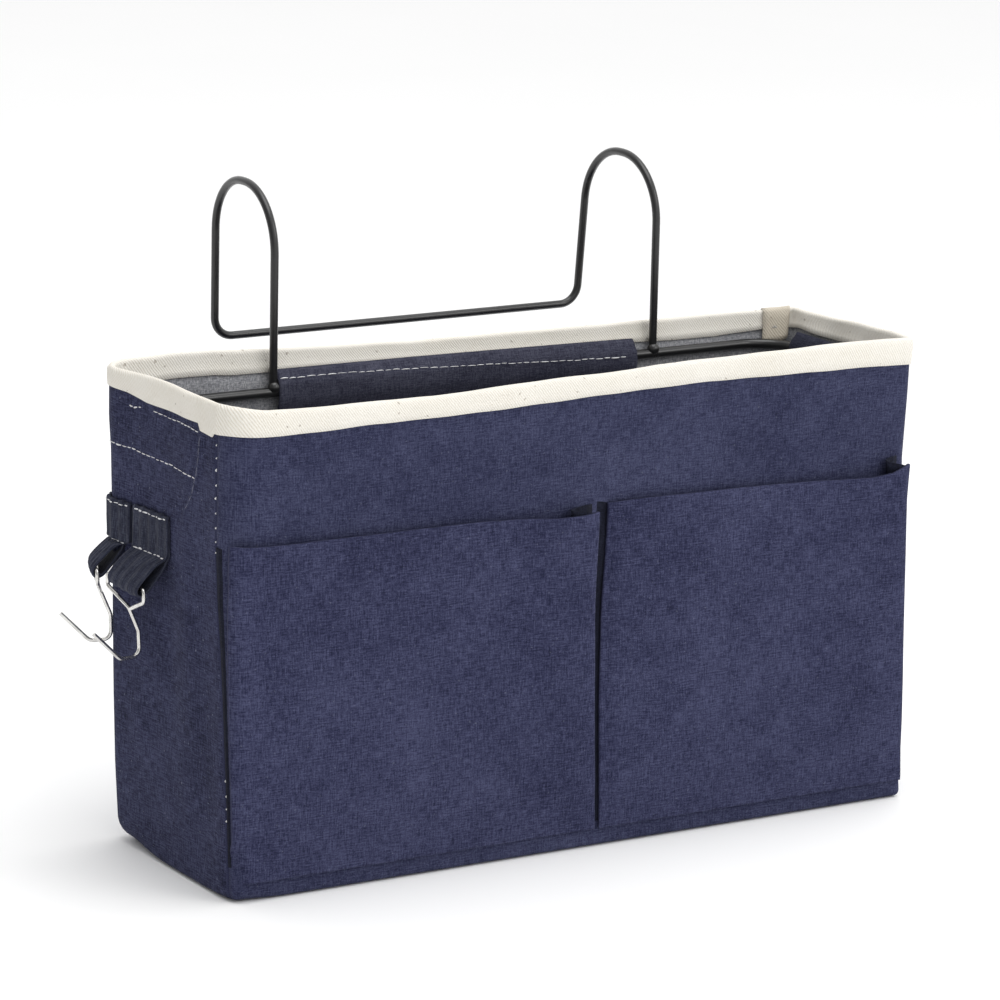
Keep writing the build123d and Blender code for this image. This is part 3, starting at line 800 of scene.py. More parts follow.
def tape_ring():
    P0, n0 = outline(228.0)
    low = tape_low(P0)
    inner = 222.0 + 0.35 * np.sin(PERIM * 2 * math.pi / 71 + 2)
    lift0 = rim_lift(P0) * (228 / H) ** 5
    on_back = sm((P0[:, 1] - 40) / 10)
    inner = inner * (1 - on_back) + np.interp(P0[:, 0], *LOW_IN_BACK) * on_back
    inner = inner - lift0
    low = low - lift0
    prof = []
    # (depth, fraction between the low edge and the top)
    out_leg = [(-0.5, 0.0), (-0.8, 0.02), (-0.95, 0.3), (-1.0, 0.6), (-0.95, 0.85), (-0.65, 0.96)]
    top = [(-0.1, 234.9), (0.7, 235.3), (1.5, 235.35), (2.3, 235.1), (2.85, 234.5)]
    in_leg = [(3.05, 0.88), (3.2, 0.6), (3.9, 0.3), (4.8, 0.02), (4.45, 0.0)]
    core = [(4.1, 0.03), (3.2, 0.3), (2.35, 0.6), (2.3, 0.9), (1.9, 234.05), (0.2, 234.05), (-0.1, 0.9), (-0.1, 0.03)]
    corners_x = np.zeros(N)
    for k in (0, 2, 4, 6):
        c = (START[k] + START[k + 1]) / 2
        dist = np.abs(((np.arange(N) - c + N / 2) % N) - N / 2)
        corners_x += np.exp(-(dist / 9.0) ** 2)
    pucker = corners_x * np.sin(PERIM * 2 * math.pi / 4.6) * 0.28
    soft = 0.14 * np.sin(PERIM * 2 * math.pi / 47 + 0.5) + 0.10 * np.sin(PERIM * 2 * math.pi / 19)
    loops = []
    v = []
    vv = 0.0
    last = None

    def row(d, z, wob=0.0):
        """z is an array over the outline"""
        zr = float(np.mean(z))
        base = wall_row(zr, 0.0)
        P, n, lift = _cache[round(zr, 4)]
        q = P - n * (np.asarray(d) - wob)[:, None]
        return np.concatenate([q, (z + rim_lift(P) * np.clip(np.asarray(z) / H, 0, 1.1) ** 5)[:, None]], 1)

    one = np.ones(N)
    for d, f in out_leg:
        loops.append(row(d * one, low + (234.6 - low) * f, (pucker + soft) * min(1, f * 1.5 + 0.2)))
    for d, z in top:
        loops.append(row(d * one, z * one + 0.15 * soft, 0.5 * pucker))
    for d, f in in_leg:
        loops.append(row(d * one, inner + (234.6 - inner) * f, -(0.5 * pucker + 0.5 * soft) * min(1, f + 0.2)))
    for d, f in core:
        if f > 5:
            loops.append(row(d * one, f * one))
        else:
            z = (inner if d > 1.5 else low)
            loops.append(row(d * one, z + (233.95 - z) * f, 0 * one))
    A = np.stack(loops, 1)                     # (N, M, 3)
    M_ = A.shape[1]
    dv = np.concatenate([[0], np.cumsum(np.mean(np.linalg.norm(np.diff(A, axis=1), axis=2), 0))])
    verts = A.reshape(-1, 3)
    per = np.concatenate([PERIM, [PERIM[-1] + 2.6]])
    fs, uv_loops = [], []
    for i in range(N):
        a, b = i * M_, ((i + 1) % N) * M_
        for j in range(M_):
            j2 = (j + 1) % M_
            fs.append((a + j, b + j, b + j2, a + j2))
            v0, v1 = dv[j], dv[j2] if j2 else dv[-1] + 0.6
            uv_loops.append([(per[i], v0), (per[i + 1], v0), (per[i + 1], v1), (per[i], v1)])
    ob = make_mesh("rim_tape", verts, fs, None, TAPE)
    layer = ob.data.uv_layers.new(name="UVMap")
    flat = np.array(uv_loops, float).reshape(-1, 2) * MM
    layer.data.foreach_set("uv", flat.astype(np.float32).ravel())
    fix_normals(ob)
    return ob


rim_tape = tape_ring()
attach(rim_tape, "bag"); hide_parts("rim_binding")


# overlapped end of the tape near the right rear corner: a strip folded over the rim
def tape_join():
    i0 = int(START[5] + 4)
    idx = np.arange(i0 - 7, i0 + 1)
    prof = [(-1.2, 221.5), (-1.7, 223), (-1.8, 230), (-1.5, 234.2), (-0.4, 235.7), (1.2, 236.2), (2.6, 235.9),
            (3.7, 234.4), (4.1, 230), (5.0, 225.5), (5.9, 220.5), (6.5, 216.0)]
    O, I = [], []
    k = np.linspace(0, 1, len(idx))
    for d, z in prof:
        r = wall_row(min(z, 235.0), d)[idx]
        r[:, 2] += max(0, z - 235.0)
        fold = 0.55 * np.sin(k * 9.0 + z * 0.16)
        if z < 222:
            r[:, 2] += 5.5 * (1 - k) * (222 - z) / 7.5     # slanted cut end
        P, n, _l = _cache[round(float(min(z, 235.0)), 4)]
        r[:, :2] -= n[idx] * (fold * (1 if d > 2 else -0.3))[:, None]
        q = r.copy()
        inward = 0.7 if d > 2 else -0.7
        if 234.5 < z:
            q[:, 2] -= 0.65
        else:
            q[:, :2] += n[idx] * inward
        O.append(r); I.append(q)
    O, I = np.stack(O, 1), np.stack(I, 1)
    u = PERIM[idx][:, None]
    vl = np.concatenate([[0], np.cumsum(np.mean(np.linalg.norm(np.diff(O, axis=1), axis=2), 0))])
    # its darker, browner tone is partly painted shade and partly dirt
    return fix_normals(sheet_mesh("tape_join", O, I, TAPE_FOLD_SHADE_AND_DIRT, u * 1.0 + 11, vl[None, :]))


join = tape_join()
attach(join, "bag")


# ------------------------------------------------------------------ stitches
def stitches(name, pts, nrm, material, body="bag", length=2.6, gap=1.3, rad=0.42, heavy=(), lift=0.15, slot="canvas", seed=0):
    """Row of short thread stitches along a polyline (n, 3) in mm with surface normals."""
    pts, nrm = np.asarray(pts, float), np.asarray(nrm, float)
    cum = np.concatenate([[0], np.cumsum(np.linalg.norm(np.diff(pts, axis=0), axis=1))])
    rng = np.random.RandomState(seed + 17)
    verts, fs, uvs = [], [], []
    s = 0.3

    def at(q):
        p = np.array([np.interp(q, cum, pts[:, i]) for i in range(3)])
        n = np.array([np.interp(q, cum, nrm[:, i]) for i in range(3)])
        return p, n / np.linalg.norm(n)

    while s + length < cum[-1]:
        ln = min(length * rng.uniform(0.75, 1.3), cum[-1] - s - 0.3)
        r = rad * rng.uniform(0.7, 1.25)
        for lo, hi in heavy:
            if lo <= s / cum[-1] <= hi:
                r *= 1.45
        steps = 6
        base = len(verts)
        side_shift = rng.uniform(-0.22, 0.22)
        for k in range(steps + 1):
            f = k / steps
            p, n = at(min(s + ln * f, cum[-1]))
            q, _ = at(min(s + ln * f + 0.2, cum[-1]))
            q0, _ = at(max(s + ln * f - 0.2, 0))
            tan = q - q0
            tan /= np.linalg.norm(tan) + 1e-9
            side = np.cross(n, tan)
            arch = math.sin(math.pi * f) ** 0.5
            rr = r * (0.35 + 0.65 * arch)
            c = p + n * (lift + rr * 0.55 * arch - 0.25 * (1 - arch)) + side * side_shift
            for a in range(6):
                th = a * math.pi / 3
                verts.append(c + side * rr * math.cos(th) + n * rr * 0.8 * math.sin(th))
                uvs.append((s + ln * f, a))
        for k in range(steps):
            for a in range(6):
                a2 = (a + 1) % 6
                fs.append((base + k * 6 + a, base + k * 6 + a2, base + (k + 1) * 6 + a2, base + (k + 1) * 6 + a))
        fs.append(tuple(base + a for a in reversed(range(6))))
        fs.append(tuple(base + steps * 6 + a for a in range(6)))
        s += ln + gap * rng.uniform(0.8, 1.2)
    ob = fix_normals(make_mesh(name, verts, fs, np.array(uvs), material))
    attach(ob, body)
    return ob


def on_wall(wall, coord, z, out=0.0):
    """Point and normal on the canvas face: wall 3 by y, wall 0 by x."""
    P3 = wall_row(z, -out)
    P, n, _ = _cache[round(float(z), 4)]
    if wall == 3:
        idx = np.concatenate([np.arange(START[7] - 6, N), np.arange(0, 3)])
        order = np.argsort(P3[idx, 1])
        y = P3[idx, 1][order]
        p = np.array([np.interp(coord, y, P3[idx, i][order]) for i in range(3)])
        nn = np.array([np.interp(coord, y, n[idx, i][order]) for i in range(2)] + [0.0])
    else:
        idx = np.arange(START[0] + 2, START[3])
        p = np.array([np.interp(coord, P3[idx, 0], P3[idx, i]) for i in range(3)])
        nn = np.array([np.interp(coord, P3[idx, 0], n[idx, i]) for i in range(2)] + [0.0])
    return p, nn / np.linalg.norm(nn)


def wall_line(wall, pairs, n=60):
    pairs = np.asarray(pairs, float)
    t = np.linspace(0, 1, len(pairs))
    tt = np.linspace(0, 1, n)
    a, b = np.interp(tt, t, pairs[:, 0]), np.interp(tt, t, pairs[:, 1])
    res = [on_wall(wall, c, z) for c, z in zip(a, b)]
    return np.array([r[0] for r in res]), np.array([r[1] for r in res])


stitches("end_stitch_upper_a", *wall_line(3, [(35.5, 219.3), (32, 218.6), (27.8, 219.6), (24, 219.3)], n=20), THREAD,
         length=2.2, gap=0.9, rad=0.38, seed=1)
stitches("end_stitch_upper_b", *wall_line(3, [(17, 219.6), (7, 219.5), (-6, 219.5), (-16, 219.4), (-26.5, 218.4)]), THREAD,
         length=3.2, gap=0.55, rad=0.25, heavy=((0.9, 1.0),), seed=1)
stitches("end_stitch_lower", *wall_line(3, [(54.2, 198.5), (44.9, 198.5), (36, 198.6), (18.5, 197.2), (-0.1, 197.1), (-12, 196.2), (-22.0, 195.2)]), THREAD,
         length=3.2, gap=0.7, rad=0.27, heavy=((0.0, 0.12), (0.88, 1.0)), seed=2)


# corner seams: small stitch dots where the front panel meets the ends
def seam_dots(name, index, z0, z1, step, seed, rad=0.45):
    rng = np.random.RandomState(seed)
    pts, nr = [], []
    zs = np.arange(z0, z1, 1.5)
    for z in zs:
        r = wall_row(z, -0.0)
        P, n, _ = _cache[round(float(z), 4)]
        pts.append(r[index % N]); nr.append([n[index % N][0], n[index % N][1], 0])
    return stitches(name, pts, nr, THREAD, length=1.1, gap=step - 1.1, rad=rad, lift=0.0, seed=seed)


seam_dots("corner_stitch_left", 0, 164, 217, 6.3, 4, 0.38)
seam_dots("corner_stitch_left_low", 0, 38, 60, 6.3, 6, 0.32)
seam_dots("corner_stitch_right", int(START[3]), 12, 217, 6.3, 5, 0.36)


# ------------------------------------------------------------------ wire sleeves
def yb(x, z):
    """Inside face of the back wall."""
    r = wall_row(z, 4.3)
    idx = np.arange(START[5], START[6])
    o = np.argsort(r[idx, 0])
    return np.interp(x, r[idx, 0][o], r[idx, 1][o])


def back_sleeve():
    nx = 110
    xs = np.linspace(-107.0, 98.0, nx)
    prof = [(-1.1, 223.2), (-1.9, 223.6), (-2.8, 222.6), (-3.9, 220.6), (-5.2, 218.2), (-6.1, 215.8), (-6.5, 213.4),
            (-6.4, 210.8), (-5.9, 208.4), (-5.0, 205.8), (-4.0, 202.8), (-2.9, 199.4), (-2.0, 196.4), (-1.5, 194.6)]
    O = np.zeros((nx, len(prof), 3))
    for i, x in enumerate(xs):
        tilt = np.interp(x, [-107, -75, -30, 51, 98], [0.4, 0.2, -0.1, -1.2, -2.0])
        for j, (dy, z) in enumerate(prof):
            f = 1 - sm((222 - z) / 16)
            zz = z + tilt * f
            wv = 0.25 * math.sin(x / 17.0 + z * 0.12) + 0.15 * math.sin(x / 6.3 + 1.0)
            end = 0.5 * (math.exp(-((x + 107) / 2.5) ** 2) + math.exp(-((x - 98) / 2.5) ** 2))
            y = 57.95 + dy + wv * (0.35 + 0.65 * (abs(dy) > 3)) * 0.5 - end * 0.4
            if dy < -5:
                y = min(y, 51.75)
            O[i, j] = (x, y, zz)
    # inner side towards the wall
    d = np.gradient(O, axis=1)
    nrm = np.stack([0 * d[:, :, 0], d[:, :, 2], -d[:, :, 1]], 2)
    nrm /= np.linalg.norm(nrm, axis=2)[:, :, None]
    nrm *= np.sign(nrm[:, :, 1:2] + 1e-9)
    I = O + np.abs(nrm) * np.array([0, 0.85, 0]) + nrm * np.array([0, 0, 0.85])
    vl = np.concatenate([[0], np.cumsum(np.linalg.norm(np.diff(O[0], axis=0), axis=1))])
    ob = fix_normals(sheet_mesh("back_sleeve_cloth", O, I, NAVY_STRIP, xs[:, None], vl[None, :]))
    return ob, O, xs


bs, BSO, BSX = back_sleeve()
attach(bs, "bag"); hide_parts("back_sleeve")


def sleeve_line(pairs, n=90):
    pairs = np.asarray(pairs, float)
    xs = np.linspace(pairs[0, 0], pairs[-1, 0], n)
    zs = np.interp(xs, pairs[:, 0], pairs[:, 1])
    pts, nr = [], []
    for x, z in zip(xs, zs):
        i = int(np.argmin(np.abs(BSX - x)))
        col = BSO[i]
        o = np.argsort(col[:, 2])
        y = np.interp(z, col[o, 2], col[o, 1])
        y2 = np.interp(z + 0.5, col[o, 2], col[o, 1])
        t = np.array([0, y2 - y, 0.5])
        nn = np.array([0, -t[2], t[1]])
        pts.append((x, y, z)); nr.append(nn / np.linalg.norm(nn))
    return np.array(pts), np.array(nr)


stitches("sleeve_stitch_upper", *sleeve_line([(-106, 220.3), (-75, 220.2), (-30, 218.9), (20, 217.0), (51, 215.4), (93.5, 214.0)]),
         THREAD, length=4.2, gap=0.6, rad=0.20, heavy=((0.0, 0.14), (0.88, 1.0)), seed=6)
stitches("sleeve_stitch_lower", *sleeve_line([(-106, 196.6), (0, 196.4), (97, 196.6)]),
         THREAD, length=3.0, gap=1.0, rad=0.34, heavy=((0.0, 0.05), (0.95, 1.0)), seed=7)


def end_sleeve(name, side, y0, y1, node):
    ny = 40
    ys = np.linspace(y0, y1, ny)
    prof = [(-0.9, 221.0), (-1.5, 221.5), (-2.8, 219.4), (-4.7, 217.6), (-5.7, 215.6), (-6.1, 213.6), (-5.9, 211.4),
            (-5.0, 208.6), (-3.7, 204.4), (-2.5, 199.6), (-1.6, 196.0), (-1.1, 194.6)]
    O = np.zeros((ny, len(prof), 3))
    for i, y in enumerate(ys):
        for j, (d, z) in enumerate(prof):
            wv = 0.3 * math.sin(y / 9.0 + z * 0.2)
            xin = 186.7
            O[i, j] = (side * (xin + d + 0.2 * wv), y, z)
    I = O.copy()
    I[:, :, 0] += side * 0.85
    vl = np.concatenate([[0], np.cumsum(np.linalg.norm(np.diff(O[0], axis=0), axis=1))])
    # the right end sleeve takes the darker canvas copy as painted shade
    ob = fix_normals(sheet_mesh(name, O, I, NAVY_STRIP if side < 0 else NAVY_SLEEVE_PAINTED_SHADE, ys[:, None], vl[None, :]))
    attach(ob, "bag"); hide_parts(node)
    for tag, z, jd in (("upper", 218.5, -3.7), ("lower", 196.6, -1.7)):
        pts = [(side * (186.7 + jd), y, z) for y in ys]
        if side > 0 and tag == "upper":
            pts = pts[:24]          # this row runs under the wire further back
        stitches(f"{name}_stitch_{tag}", pts, [(-side, 0, 0)] * len(pts), THREAD, length=2.6, gap=1.2, rad=0.34, seed=int(z))
    return ob


end_sleeve("left_end_sleeve_cloth", -1, -28, 30, "left_end_sleeve")
end_sleeve("right_end_sleeve_cloth", 1, -28, 37, "right_end_sleeve")


# ------------------------------------------------------------------ pockets
LP_TOP = ([-194, -188, -178, -157, -125, -93, -60, -28, -19, -6, 3], [169.6, 170.2, 169.6, 169.2, 169.4, 169.4, 169.0, 167.7, 167.2, 167.8, 168.9])
RP_TOP = ([4, 10, 28, 62, 97, 133, 163, 175, 183, 188], [169.8, 170.4, 171.3, 171.1, 170.3, 169.4, 168.7, 170.2, 173.4, 174.6])
LP_XR = ([10, 75, 115, 125, 137, 150, 169], [7.4, 4.2, 2.4, 2.2, 2.3, 2.6, 2.5])
RP_XL = ([10, 74, 114, 124, 134, 144, 153, 166], [9.8, 8.4, 8.6, 9.2, 10.0, 10.9, 11.6, 12.2])
LP_XL = ([10, 27, 60, 100, 124, 166], [-188.6, -189.6, -190.6, -191.0, -191.2, -190.6])
RP_XR = ([10, 60, 120, 150, 160, 166, 172], [189.6, 188.2, 185.8, 184.4, 184.2, 184.4, 184.6])


def wall_y(x, z):
    r = wall_row(z, 0.0)
    idx = np.arange(START[0] + 2, START[3])
    return np.interp(x, r[idx, 0], r[idx, 1])


def pocket(name, side, node, body):
    left = side == "left"
    nu, nv = 100, 64
    u0 = np.linspace(0, 1, nu)
    u = u0 - 0.10 * np.sin(2 * math.pi * u0) / 2      # closer samples at the edges
    vs = np.concatenate([[0, 0.006, 0.014, 0.026, 0.04], np.linspace(0.06, 0.955, nv - 11), [0.97, 0.98, 0.988, 0.994, 0.998, 1.0]])
    O = np.zeros((nu, nv, 3))
    thick = np.zeros((nu, nv))
    for j, v in enumerate(vs):
        zz0 = 9.2 + 160 * v
        if left:
            xl, xr, tops = float(np.interp(zz0, *LP_XL)), float(np.interp(zz0, *LP_XR)), LP_TOP
        else:
            xl, xr, tops = float(np.interp(zz0, *RP_XL)), float(np.interp(zz0, *RP_XR)), RP_TOP
        x = xl + (xr - xl) * u
        z = 9.2 + (np.interp(x, *tops) - 9.2) * v
        grow = float(sm(v / 0.22))
        if left:
            mouth = 2.2 + 6.2 * sm((x + 40) / 40)
            gap = 0.75 + (0.9 + 0.5 * v) * grow + (mouth - 1.4) * v ** 1.5
            gap = gap + 1.6 * math.sin(math.pi * v) * np.sin(np.pi * u) ** 0.6
            gap = gap + 0.9 * grow * (1 - v) * sm((x + 30) / 34)
        else:
            mouth = 2.2 + 6.4 * sm((x - 118) / 66)
            gap = 0.75 + (0.9 + 0.5 * v) * grow + (mouth - 1.4) * v ** 1.5
            gap = gap + 2.0 * math.sin(math.pi * v) * np.sin(np.pi * u) ** 0.6
        wy = np.interp(np.clip(x, -176, 183), *front_profile(z))
        y = wy - gap - 1.15
        y = y + 0.32 * waves(x, z, 31 if left else 37, 62, 85) * np.sin(np.pi * u) * min(1, 4 * v)
        # a few slack folds that fan out of the bottom corner, and one near the mouth
        cx = 7.0 if left else 186.0
        ang = np.arctan2(z - 8, (cx - x) + 1e-6)
        rad = np.hypot(z - 8, cx - x)
        y = y - 0.30 * np.sin(ang * 7.0 + (1.0 if left else 2.2)) * np.exp(-((rad - 42) / 30) ** 2) * sm(v / 0.12)
        # side edges roll back towards the wall
        if left:
            close = 1 - sm((zz0 - 22) / 10) * sm((172 - zz0) / 26)
            y = y + (1.2 + 2.7 * close) * np.exp(-((x - xl) / 3.6) ** 2) + 0.9 * np.exp(-((x - xl) / 11.0) ** 2)
            deep = float(np.interp(zz0, [10, 60, 100, 140, 158, 168], [0.4, 1.6, 3.0, 3.4, 2.0, 0.0]))
            y = y + deep * (1 - np.sqrt(np.clip(1 - (1 - np.clip((x - xl) / 4.0, 0, 1)) ** 2, 0, 1)))
            y = y + 0.7 * np.exp(-((x - xr) / 1.8) ** 2)
        else:
            y = y + (2.6 - 0.8 * v) * np.exp(-((x - xl) / 4.2) ** 2) + 0.8 * np.exp(-((x - xl) / 13.0) ** 2)
            y = y + 0.8 * np.exp(-((x - xr) / 1.8) ** 2)
        y = np.minimum(y, wy - 0.75 - 1.15) if not left else np.where(x > -184, np.minimum(y, wy - 1.9), y)
        y = y + 0.25 * math.exp(-(v * 160 / 1.6) ** 2)
        hem = float(sm((v * 160 - 146.5) / 1.6))
        y = y - 0.38 * hem + (0.30 if j == nv - 1 else 0.0)
        O[:, j] = np.stack([x, y, z], 1)
        thick[:, j] = (0.9 if v < 0.03 else 1.15) + 0.55 * hem
    I = O.copy()
    I[:, :, 1] += thick
    # the thickness is added along +Y, also where the edge rolls back
    U = O[:, :, 0] + (500 if not left else 0)
    ob = sheet_mesh(name, O, I, NAVY_POCKET, U, O[:, :, 2])
    fix_normals(ob)
    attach(ob, body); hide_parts(node)
    return ob, O, I


def front_profile(z):
    zz = float(np.mean(z))
    r = wall_row(round(zz, 1), 0.0)
    idx = np.arange(START[0] + 2, START[3])
    return r[idx, 0], r[idx, 1]


left_pocket, LPO, LPI = pocket("left_pocket_cloth", "left", "left_pocket", "left_pocket_front")
right_pocket, RPO, RPI = pocket("right_pocket_cloth", "right", "right_pocket", "right_pocket_front")


def gusset(name, wall_pt, fold_in, O, I, column, z_lo, z_hi, z_hi_wall):
    """Pleated strip from the wall to the pocket's side edge. fold_in is the pleat's reach along X."""
    nz, nq = 60, 15
    A = np.zeros((nz, nq, 3))
    xi, yi, zi = I[column, :, 0], I[column, :, 1], I[column, :, 2]
    for k in range(nz):
        f0 = k / (nz - 1)
        z = z_lo + (z_hi - z_lo) * f0
        ye = float(np.interp(z, zi, yi)) + 0.1
        xe = float(np.interp(z, zi, xi))
        xw, yw = wall_pt(round(z, 1))
        if yw - ye < 0.5:
            yw = ye + 0.5
        w = 0.30 * math.sin(z / 13.0) + 0.18 * math.sin(z / 4.9)
        grow = 0.25 + 0.35 * f0 + 0.40 * f0 ** 6
        for q in range(nq):
            f = q / (nq - 1)
            y = yw + (ye - yw) * f
            x = xw + (xe - xw) * f + (fold_in * grow + w) * math.sin(math.pi * f) ** 0.75
            A[k, q] = (x, y, z + (z_hi_wall - z_hi) * f0 ** 4 * (1 - f) ** 0.5)
    B = A.copy()
    B[:, :, 0] += 0.7 if fold_in < 0 else -0.7
    vl = np.linspace(0, 14, nq)
    zs = np.linspace(z_lo, z_hi, nz)
    # the gusset is coloured near-black as painted shade for the slit it fills
    ob = fix_normals(sheet_mesh(name, A, B, NAVY_PAINTED_SHADE, zs[:, None], vl[None, :]))
    xw, y0 = wall_pt(90.0)
    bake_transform(ob)
    return ob


def at_x(x):
    return lambda z: (x, float(wall_y(x, z)) - 0.2)


def corner_gusset():
    """Left pocket's outer gusset: lies on the rounded corner from the seam, then turns out to the pocket's edge."""
    nz, na, nb = 60, 7, 6
    A, B = np.zeros((nz, na + nb, 3)), np.zeros((nz, na + nb, 3))
    xi, yi, zi = LPI[1, :, 0], LPI[1, :, 1], LPI[1, :, 2]
    for k in range(nz):
        z = 17.0 + (167.2 - 17.0) * k / (nz - 1)
        outer, inner = wall_row(round(z, 1), 0.75), wall_row(round(z, 1), 0.05)
        xe, ye = float(np.interp(z, zi, xi)), float(np.interp(z, zi, yi)) + 0.2
        A[k, :na], B[k, :na] = outer[:na], inner[:na]
        for q in range(nb):
            f = (q + 1) / nb
            w = 0.5 * math.sin(math.pi * f)
            A[k, na + q] = (outer[na - 1, 0] + (xe - outer[na - 1, 0]) * f + w, outer[na - 1, 1] + (ye - outer[na - 1, 1]) * f + 0.4 * w, z)
            B[k, na + q] = A[k, na + q] + np.array([0.5, 0.5, 0])
    run = np.concatenate([[0], np.cumsum(np.linalg.norm(np.diff(A[30], axis=0), axis=1))])
    # near-black painted shade over the corner arc next to the seam, for the slit beside the pocket
    ob = fix_normals(sheet_mesh("left_pocket_gusset_a", A, B, NAVY_PAINTED_SHADE, np.linspace(17, 167, nz)[:, None], run[None, :]))
    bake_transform(ob)
    return ob


g1 = corner_gusset()
g2 = gusset("left_pocket_gusset_b", at_x(3.4), -13.0, LPO, LPI, -2, 13.0, 168.0, 170.6)
g3 = gusset("right_pocket_gusset_a", at_x(3.6), 2.0, RPO, RPI, 1, 13.0, 168.8, 171.8)
g4 = gusset("right_pocket_gusset_b", at_x(182.5), -9.0, RPO, RPI, -2, 13.0, 172.6, 176.4)
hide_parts("left_pocket_gussets")
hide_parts("right_pocket_gussets")


# ------------------------------------------------------------------ straps
def hooked_strap(name, at, az_deg, half, tab_of, tab_node, loop_node, twist=0.0, lean=0.0, reach=1.0, seed=0):
    """Folded canvas strap: sewn part on the wall, then a loop below the lower stitch row.
    Local frame: X outward from the hinge line, Y along it, Z up."""
    top = 22.8
    path = [(0.0, top - 1.6), (-0.05, top - 0.4), (0.35, top), (0.7, top - 0.5), (0.75, top - 6), (0.85, 12.0), (0.75, 5.0), (1.0, 2.2),
            (2.2, 1.2), (4.4, 0.3), (7.0, -1.4), (10.0, -4.0), (13.0, -6.9), (15.4, -9.6), (16.2, -11.6), (15.6, -13.4),
            (13.9, -14.3), (12.0, -14.0), (10.4, -12.8), (8.4, -10.6), (5.8, -7.4), (3.2, -4.2), (1.2, -1.6), (0.15, 0.6),
            (-0.25, 3.2), (-0.3, 8.0), (-0.3, 15.0), (-0.3, top - 2.4)]
    path = np.array(path, float)
    path[:, 0] *= np.where(path[:, 1] < 1, reach, 1.0)
    s = np.concatenate([[0], np.cumsum(np.linalg.norm(np.diff(path, axis=0), axis=1))])
    ns_ = 130
    ss = np.linspace(0, s[-1], ns_)
    px, pz = np.interp(ss, s, path[:, 0]), np.interp(ss, s, path[:, 1])
    for _ in range(5):
        px[1:-1] = 0.5 * px[1:-1] + 0.25 * (px[:-2] + px[2:])
        pz[1:-1] = 0.5 * pz[1:-1] + 0.25 * (pz[:-2] + pz[2:])
    tx, tz = np.gradient(px), np.gradient(pz)
    ln = np.hypot(tx, tz)
    nx_, nz_ = tz / ln, -tx / ln
    # the path starts up the wall side, over the top and down the outside: normals point out of the fold
    if nx_[np.argmax(px)] < 0:
        nx_, nz_ = -nx_, -nz_
    nw = 45
    w = np.linspace(-1, 1, nw)
    a = math.radians(az_deg)
    out = np.array([math.cos(a), math.sin(a), 0])
    along = np.array([-math.sin(a), math.cos(a), 0])
    origin = np.array(at, float)
    rng = np.random.RandomState(seed)
    ph = rng.uniform(0, 6.28, 4)
    O = np.zeros((nw, ns_, 3)); I = O.copy()
    for i, ww in enumerate(w):
        hang = sm((-pz - 1) / 12)
        narrow = 1 - 0.05 * hang
        yy = ww * half * narrow + 0.35 * np.sin(ss / 9.0 + ph[0]) * (abs(ww) > 0.9) + lean * hang
        rib = np.cos((ww + 0.05 * math.sin(ph[1])) * math.pi * 4.0 + 0.25 * np.sin(ss / 14 + ph[2]))
        rib = np.sign(rib) * np.abs(rib) ** 0.6 * float(sm((1 - abs(ww)) / 0.12))
        edge = -0.45 * float(sm((abs(ww) - 0.90) / 0.10))
        h = 0.62 + 0.34 * rib + edge * 0.7
        tw = twist * ww * sm((-pz) / 12)
        bow = 0.5 * (1 - ww * ww) * hang
        lo = np.stack([px + nx_ * h + bow, yy, pz + nz_ * h + tw], 1)
        li = np.stack([px - nx_ * 0.48 + bow, yy, pz - nz_ * 0.48 + tw], 1)
        for arr, loc in ((O, lo), (I, li)):
            arr[i] = origin + loc[:, :1] * out + loc[:, 1:2] * along + loc[:, 2:3] * np.array([0, 0, 1.0])

    def seat(arr):
        lz = arr[:, :, 2] - origin[2]
        for i in range(nw):
            for j in range(ns_):
                if lz[i, j] <= 0.4:
                    continue
                k = float(sm((lz[i, j] - 0.4) / 3.0))
                p, n = tab_of(arr[i, j], arr[i, j, 2])
                arr[i, j] = arr[i, j] * (1 - k) + p * k
    seat(O); seat(I)
    ob = fix_normals(sheet_mesh(name, O, I, STRAP, (w * half)[:, None], ss[None, :]))
    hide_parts(tab_node, loop_node)
    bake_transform(ob)
    # two stitch rows on the outer face
    jt = int(np.argmax(pz))
    for tag, lz0, col, tilt in (("upper", 21.2, 0.0, 0.0), ("lower", 1.9, 0.55, 0.0)):
        j = jt + int(np.argmax(pz[jt:] <= lz0))
        pts = O[::-1, j][2:-2] if tag == "upper" else O[::-1, j][1:-1]
        nv_ = out * (1 - col) + np.array([0, 0, 1.0]) * col
        stitches(f"{name}_stitch_{tag}", pts, np.repeat([nv_ / np.linalg.norm(nv_)], len(pts), 0), THREAD, length=3.4, gap=0.35,
                 rad=0.34, heavy=((0.62, 1.0),), lift=-0.05 if tag == "upper" else -0.1, slot="strap", seed=seed * 5 + int(lz0))
    return ob


def closest_on_left(z, q, out):
    """Point of the left end / rear left corner nearest to q, shifted out mm outward."""
    r = wall_row(z, 0.0)
    P, n, _ = _cache[round(float(z), 4)]
    idx = np.arange(START[6] - 26, N)
    d = np.hypot(r[idx, 0] - q[0], r[idx, 1] - q[1])
    k = int(np.argmin(d))
    k0, k1 = max(k - 1, 0), min(k + 1, len(idx) - 1)
    best, bd = None, 1e9
    for a, b in ((k0, k), (k, k1)):
        A, B = r[idx[a]], r[idx[b]]
        ab = (B - A)[:2]
        t = np.clip(((q[:2] - A[:2]) @ ab) / max(ab @ ab, 1e-9), 0, 1)
        p = A + (B - A) * t
        dd = np.hypot(*(p[:2] - q[:2]))
        if dd < bd:
            nn = n[idx[a]] * (1 - t) + n[idx[b]] * t
            best, bd = (p, nn / np.linalg.norm(nn)), dd
    p, nn = best
    return np.array([p[0] + nn[0] * out, p[1] + nn[1] * out, z]), nn


F_AT = np.array([-192.235, 18.9, 149.3])
R_AT = np.array([-191.232, 52.086, 149.3])
F_AZ, R_AZ = 180.0, 158.0


def zkey(z):
    return round(float(z) / 0.6) * 0.6


